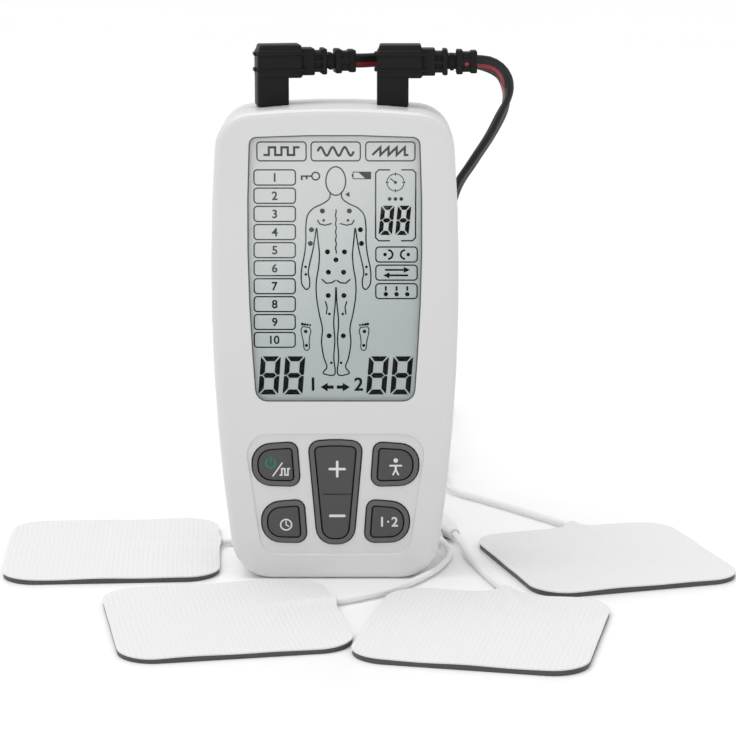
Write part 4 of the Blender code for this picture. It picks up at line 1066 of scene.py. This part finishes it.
def timer_box():
    """A bracket open at the middle of its top and foot, a clock, three dots and two digits."""
    left, right, low, high, corner = 9.1, 18.0, 78.5, 94.4, 0.7
    shapes = []
    for side, x in ((1, left), (-1, right)):
        end, turn = x + 3.2 * side, x + corner * side
        upper = [(end, high), (turn, high), (x, high - corner)]
        shapes += stroke([*upper, (x, low + corner), (turn, low), (end, low)], 0.3)
    clock = (13.5, 91.6)
    shapes += ring(clock, 1.9, 0.2)
    shapes += disc(clock, 0.35)
    shapes += stroke([clock, (12.3, 92.5)], 0.25)
    for quarter in range(4):
        angle = quarter * math.pi / 2
        way = (math.cos(angle), math.sin(angle))
        shapes += stroke([(clock[0] + r * way[0], clock[1] + r * way[1]) for r in (1.5, 2.2)], 0.25)
    for x in (12.2, 13.5, 14.8):
        shapes += disc((x, 87.9), 0.42)
    for x in (9.75, 13.45):
        shapes += seven_segments(x, 79.8, 3.0, 6.6, 0.95)
    return shapes


def intensity_digits():
    """Two large digits on each side, the numbers of their channels and an arrow to each."""
    shapes = []
    for left in (-17.4, -11.9, 6.95, 12.4):
        shapes += seven_segments(left, 43.4, 4.5, 8.8, 1.15, 0.08)
    shapes += numerals("1", (-5.0, 45.8), 3.1) + numerals("2", (5.3, 45.8), 3.1)
    for side in (-1, 1):
        tip, back = side * 3.3, side * 1.7
        shapes.append([(tip, 45.1), (back, 46.1), (back, 44.1)])
        shapes += stroke([(side * 0.35, 45.1), (back, 45.1)], 0.75)
    return shapes


# %% [markdown]
# The small signs are a key for the lock, a half-empty battery and two foot soles. The figure is one
# half outline with its mirror image, a spine and the points where pads may go. It has no face.

# %% Small icons and the figure
BODY_MIDDLE = 0.25
OUTLINE_SPACING = 0.3
SPINE_STEPS = 21
POINT_RADIUS = 0.56
SMALL_POINT_RADIUS = 0.3


def small_icons():
    """A key for the key lock, a half-empty battery and two soles with their points."""
    shapes = ring((-4.2, 93.0), 0.85, 0.32) + stroke([(-5.0, 93.0), (-7.5, 93.0)], 0.35)
    shapes += stroke([(-7.3, 93.0), (-7.3, 92.1)], 0.4) + stroke([(-6.2, 93.0), (-6.2, 92.3)], 0.4)
    shapes += stroke([(4.1, 92.4), (4.1, 93.9), (8.0, 93.9), (8.0, 92.4)], 0.18, closed=True)
    shapes += [[(3.8, 92.8), (4.1, 92.8), (4.1, 93.5), (3.8, 93.5)]]
    shapes += [[(8.0, 93.9), (8.0, 92.4), (6.9, 92.4), (5.2, 93.9)]]
    sole = [
        (5.75, 54.3), (5.95, 53.75), (6.4, 53.5), (6.85, 53.75), (7.05, 54.3), (7.1, 55.5), (7.5, 57.2),
        (7.65, 58.4), (7.3, 59.0), (5.7, 58.8), (5.4, 58.0), (5.75, 56.6), (5.85, 55.4),
    ]
    toes = [(5.6 + 0.58 * k, 59.35 + 0.08 * k, 0.24 + 0.03 * k) for k in range(4)]
    marks = [(6.6, 57.9, 0.4), (6.45, 54.7, 0.36)]
    for side in (-1, 1):
        shapes += stroke([(side * x, z) for x, z in sole], 0.22, closed=True)
        for x, z, radius in toes + marks:
            shapes += disc((side * x, z), radius)
    return shapes


def body_figure():
    """A plain standing figure seen from behind, as half an outline and its mirror image."""
    half = [
        (1.2, 89.3), (1.5, 87.9), (3.0, 86.8), (5.0, 85.8), (6.3, 84.2), (6.7, 81.5), (6.7, 78.6),
        (7.0, 75.6), (7.6, 72.6), (7.8, 70.4), (7.6, 68.6), (6.7, 67.5), (6.0, 68.0), (5.9, 69.6),
        (6.2, 71.2), (5.9, 73.2), (5.2, 76.2), (4.7, 79.0), (4.3, 81.4), (4.0, 78.6), (3.7, 75.6),
        (3.9, 72.4), (4.4, 69.4), (4.4, 66.0), (3.8, 62.0), (3.1, 58.6), (3.3, 55.4), (2.8, 52.0),
        (2.1, 49.8), (2.9, 48.6), (2.6, 48.1), (0.35, 48.1), (0.55, 52.0), (0.3, 56.0), (0.55, 60.0),
        (0.2, 64.2), (0.05, 68.0),
    ]
    creases = (
        ((4.1, 83.2), (3.6, 82.3), (2.4, 82.0), (0.9, 82.4)),
        ((3.2, 69.8), (2.2, 68.9), (1.0, 69.0), (0.1, 69.6)),
        ((2.4, 64.8), (2.0, 63.4), (2.2, 61.8)),
    )
    points = ((3.0, 85.2), (5.45, 81.0), (5.7, 77.9), (1.9, 76.0), (1.7, 71.4), (1.75, 66.1), (1.6, 56.9))
    small_points = ((1.5, 61.9), (1.1, 50.7), (2.7, 83.1), (6.8, 72.6), (6.75, 70.9))
    knots = [Vector((x + BODY_MIDDLE, z, 0)) for x, z in half]
    line = [(place.x, place.y) for place in smooth_line(knots, OUTLINE_SPACING)]
    shapes = stroke(line, LINE) + stroke([(2 * BODY_MIDDLE - x, z) for x, z in line], LINE)
    shapes += ring((BODY_MIDDLE, 91.9), 2.2, LINE, tall=1.45)
    spine = [(BODY_MIDDLE + 0.1 * math.sin(k * 1.7), 85.6 - k * 0.5) for k in range(SPINE_STEPS)]
    shapes += stroke(spine, 0.28)
    for side in (-1, 1):
        for crease in creases:
            shapes += stroke([(BODY_MIDDLE + side * x, z) for x, z in crease], LINE)
        for places, radius in ((points, POINT_RADIUS), (small_points, SMALL_POINT_RADIUS)):
            for x, z in places:
                shapes += disc((BODY_MIDDLE + side * x, z), radius)
    shapes += disc((BODY_MIDDLE, 74.2), POINT_RADIUS)
    shapes.append([(2.3, 88.9), (3.3, 89.5), (3.3, 88.3)])
    return shapes


# %% [markdown]
# The window's own front outline gives the shape of the film behind it and of a thin dark ring round
# it, which is painted shade of the gap between lens and shell. The segments go on the film, moved and
# scaled by a hair so that they sit true in the window.

# %% Film, window edge and segments
FILM_FRONT = -10.82
INK_LIFT = 0.01
FRONT_DEPTH = 0.02
EDGE_WIDTH = 0.3
MARKS_SCALE = 1.0022
MARKS_SHIFT = (-0.02, -0.36)
segments = mode_icons() + area_boxes() + massage_boxes() + timer_box() + intensity_digits()
segments += small_icons() + body_figure()
lens_mesh = nodes["window_lens"].data
lens_points = [nodes["window_lens"].matrix_world @ vertex.co / MM for vertex in lens_mesh.vertices]
lens_front = min(point.y for point in lens_points)
lens_middle = sum(lens_points, Vector()) / len(lens_points)
rim = [(point.x, point.z) for point in lens_points if point.y < lens_front + FRONT_DEPTH]
rim.sort(key=lambda place: math.atan2(place[1] - lens_middle.z, place[0] - lens_middle.x))
rim = [here for before, here in zip(rim[-1:] + rim, rim) if math.dist(before, here) > FRONT_DEPTH]
gap_shade_ring = stroke(rim, EDGE_WIDTH, closed=True)
print_marks("display_film", [rim], FILM_FRONT, LCD_WITH_PAINTED_REFLECTION, "unit")
# A thin dark ring over the lens's rim: painted shade of the gap round the lens.
print_marks("window_gap_shade_ring", gap_shade_ring, lens_front - INK_LIFT, GAP_PAINTED_SHADE, "unit")
print_marks("lcd_marks", segments, FILM_FRONT - INK_LIFT, SEGMENT_WITH_PAINTED_REFLECTION, "unit",
            MARKS_SCALE, MARKS_SHIFT)
print("display shapes:", len(segments), "rim points:", len(rim))

# %% [markdown]
# ### Key legends
# The legends are printed on the moving keys, so each rides on its own key. The power sign is green;
# the rest is a light grey. Each is drawn where it lies, as x and z in millimetres.

# %% Key legends
KEY_INK = -12.325
ROCKER_MIDDLE = 0.4
POWER_CENTRE = (-14.7, 27.5)
CLOCK_CENTRE = (-11.3, 13.0)


def legend(name, shapes, key, material=LEGEND):
    return print_marks(name, shapes, KEY_INK, material, key)


plus = bar((-1.3, 26.1), (2.1, 26.1), 0.57) + bar((ROCKER_MIDDLE, 24.4), (ROCKER_MIDDLE, 27.8), 0.57)
minus = bar((-1.2, 15.1), (2.0, 15.1), 0.62)
legend("legend_up_down", plus + minus, "intensity_rocker")
# A dark strip across the rocker's middle: painted shade of its groove.
groove_shade_strip = [[(-2.9, 20.1), (3.5, 20.1), (3.5, 20.3), (-2.9, 20.3)]]
legend("rocker_groove_shade", groove_shade_strip, "intensity_rocker", BLACK)
power = stroke(arc(POWER_CENTRE, 1.1, 125, 415), 0.42) + bar((-14.7, 28.9), (-14.7, 27.7), 0.36)
legend("legend_power", power, "power_mode_key", GREEN_INK)
pulse = [
    (-12.7, 24.7), (-12.2, 24.7), (-12.2, 26.2), (-11.5, 26.2),
    (-11.5, 24.7), (-10.8, 24.7), (-10.8, 26.2), (-10.3, 26.2),
]
slash = bar((-14.2, 24.5), (-12.1, 27.5), 0.3)
legend("legend_pulse", slash + stroke(pulse, 0.34), "power_mode_key")
hands = bar(CLOCK_CENTRE, (-11.3, 13.85), 0.26) + bar(CLOCK_CENTRE, (-10.7, 12.6), 0.26)
legend("legend_timer", ring(CLOCK_CENTRE, 1.25, 0.32) + hands, "timer_key")
figure = disc((13.7, 28.1), 0.52) + bar((12.4, 26.9), (15.0, 26.9), 0.4)
figure += bar((13.7, 26.8), (13.7, 25.9), 0.5)
figure += bar((13.6, 25.8), (13.1, 24.8), 0.38) + bar((13.8, 25.8), (14.3, 24.8), 0.38)
legend("legend_body", figure, "body_area_key")
channels = numerals("1", (10.6, 13.7), 2.3) + numerals("2", (13.5, 13.7), 2.3)
legend("legend_channels", channels + disc((12.0, 13.7), 0.24), "channel_key")
print("key ink stands at y", KEY_INK, "mm")

# %% [markdown]
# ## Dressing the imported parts
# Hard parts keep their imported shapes. Real mouldings have no knife edges, so a small bevel goes on
# as a modifier, and each part gets the finish of what it is made of.

# %% Finishes of the inner parts
BOARD = moulded("solder_mask", (0.02, 0.13, 0.05), (0.03, 0.18, 0.07), (0.35, 0.5),
                grain=0.6, depth=0.02, blotch=2.0)
CHIP = moulded("chip_resin", grey(0.02), grey(0.03), (0.5, 0.65), grain=0.1)
FERRITE = moulded("ferrite", (0.07, 0.06, 0.055), (0.1, 0.09, 0.08), (0.6, 0.8),
                  grain=0.3, depth=0.02)
CELL = moulded("cell_jacket", (0.05, 0.07, 0.2), (0.06, 0.09, 0.24), (0.25, 0.4),
               grain=0.5, Metallic=0.4)
MAT = moulded("keypad_silicone", grey(0.25), grey(0.3), (0.55, 0.7), grain=0.15)
DARK_FRAME = moulded("frame_plastic", grey(0.03), grey(0.04), (0.5, 0.6), grain=0.15)
print("finishes so far:", len(bpy.data.materials))

# %% Which part gets which finish
FINISHES = {
    "front_cover": SHELL, "back_cover": SHELL, "battery_door": SHELL,
    "window_lens": LENS, "lcd_panel": LCD_WITH_PAINTED_REFLECTION, "lcd_frame": DARK_FRAME,
    "key_bezel": COLLAR, "keypad_mat": MAT, "circuit_board": BOARD, "controller_chip": CHIP,
    "power_mode_key": KEY, "timer_key": KEY, "intensity_rocker": KEY,
    "body_area_key": KEY, "channel_key": KEY,
    "battery_contacts_lower": METAL, "battery_contacts_upper": METAL,
    "case_screw_left": METAL, "case_screw_right": METAL,
}
for side in "ab":
    FINISHES |= {f"transformer_{side}": FERRITE, f"output_jack_{side}": DARK_FRAME}
    FINISHES |= {f"plug_tip_{side}": METAL, f"lead_yoke_{side}": BLACK}
for number in "1234":
    FINISHES |= {f"pin_plug_{number}": BLACK, f"pad_socket_{number}": WIRE}
for number in "123":
    FINISHES[f"battery_{number}"] = CELL

# %% Dress the parts
EDGE_RADIUS = 0.12
SHARP_ANGLE = math.radians(30)


def dress(name, material):
    """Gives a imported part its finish, smooth shading over small angles and softened edges."""
    node = nodes[name]
    mesh = node.data
    mesh.materials.clear()
    mesh.materials.append(material)
    mesh.polygons.foreach_set("use_smooth", [True] * len(mesh.polygons))
    mesh.set_sharp_from_angle(angle=SHARP_ANGLE)
    bevel = node.modifiers.new("soft_edges", "BEVEL")
    bevel.width = EDGE_RADIUS * MM
    bevel.segments = 2
    bevel.angle_limit = SHARP_ANGLE
    bevel.harden_normals = True


for name, material in FINISHES.items():
    dress(name, material)
print("dressed:", len(FINISHES))

# %% [markdown]
# ## Floor and light
# A white table under a wide soft light from above, with a weaker one from the front, and a white
# room all round.

# %% Floor and room
FLOOR_HALF = 14
FLOOR_DROP = 0.02
ROOM_BRIGHTNESS = 0.76
FLOOR = moulded("white_table", grey(0.95), grey(0.96), (0.3, 0.36), grain=2.0, depth=0.0, blotch=200.0)
floor_corners = [(x * FLOOR_HALF, y * FLOOR_HALF, 0) for x, y in ((-1, -1), (1, -1), (1, 1), (-1, 1))]
floor_mesh = bpy.data.meshes.new("table_top")
floor_mesh.from_pydata(floor_corners, [], [(0, 1, 2, 3)])
floor_mesh.materials.append(FLOOR)
floor = bpy.data.objects.new("table_top", floor_mesh)
floor.location.z = -FLOOR_DROP * MM
bpy.context.scene.collection.objects.link(floor)

world = bpy.data.worlds.new("white_room")
world.use_nodes = True
background = world.node_tree.nodes["Background"]
background.inputs["Color"].default_value = (1, 1, 1, 1)
background.inputs["Strength"].default_value = ROOM_BRIGHTNESS
bpy.context.scene.world = world
print("room:", world.name, ROOM_BRIGHTNESS)

# %% Lamps
OVERHEAD_POWER = 1.35
OVERHEAD_SPREAD = math.radians(50)
FRONT_POWER = 0.3
FRONT_SIZE = 0.7


def lamp(name, kind, place, target, power, spread):
    """A lamp that shines from its place to its target. Spread is a sun's angle or a disc's size."""
    data = bpy.data.lights.new(name, kind)
    data.energy = power
    if kind == "SUN":
        data.angle = spread
    else:
        data.shape = "DISK"
        data.size = spread
    light = bpy.data.objects.new(name, data)
    light.location = place
    light.rotation_euler = (Vector(target) - Vector(place)).to_track_quat("-Z", "Y").to_euler()
    bpy.context.scene.collection.objects.link(light)
    return light


overhead = lamp("overhead", "SUN", (-0.3, -0.05, 1.2), (0, 0, 0), OVERHEAD_POWER, OVERHEAD_SPREAD)
front = lamp("front", "AREA", (-0.5, -1.2, 0.5), (0, 0, 0.06), FRONT_POWER, FRONT_SIZE)
print("lamps:", overhead.name, front.name)
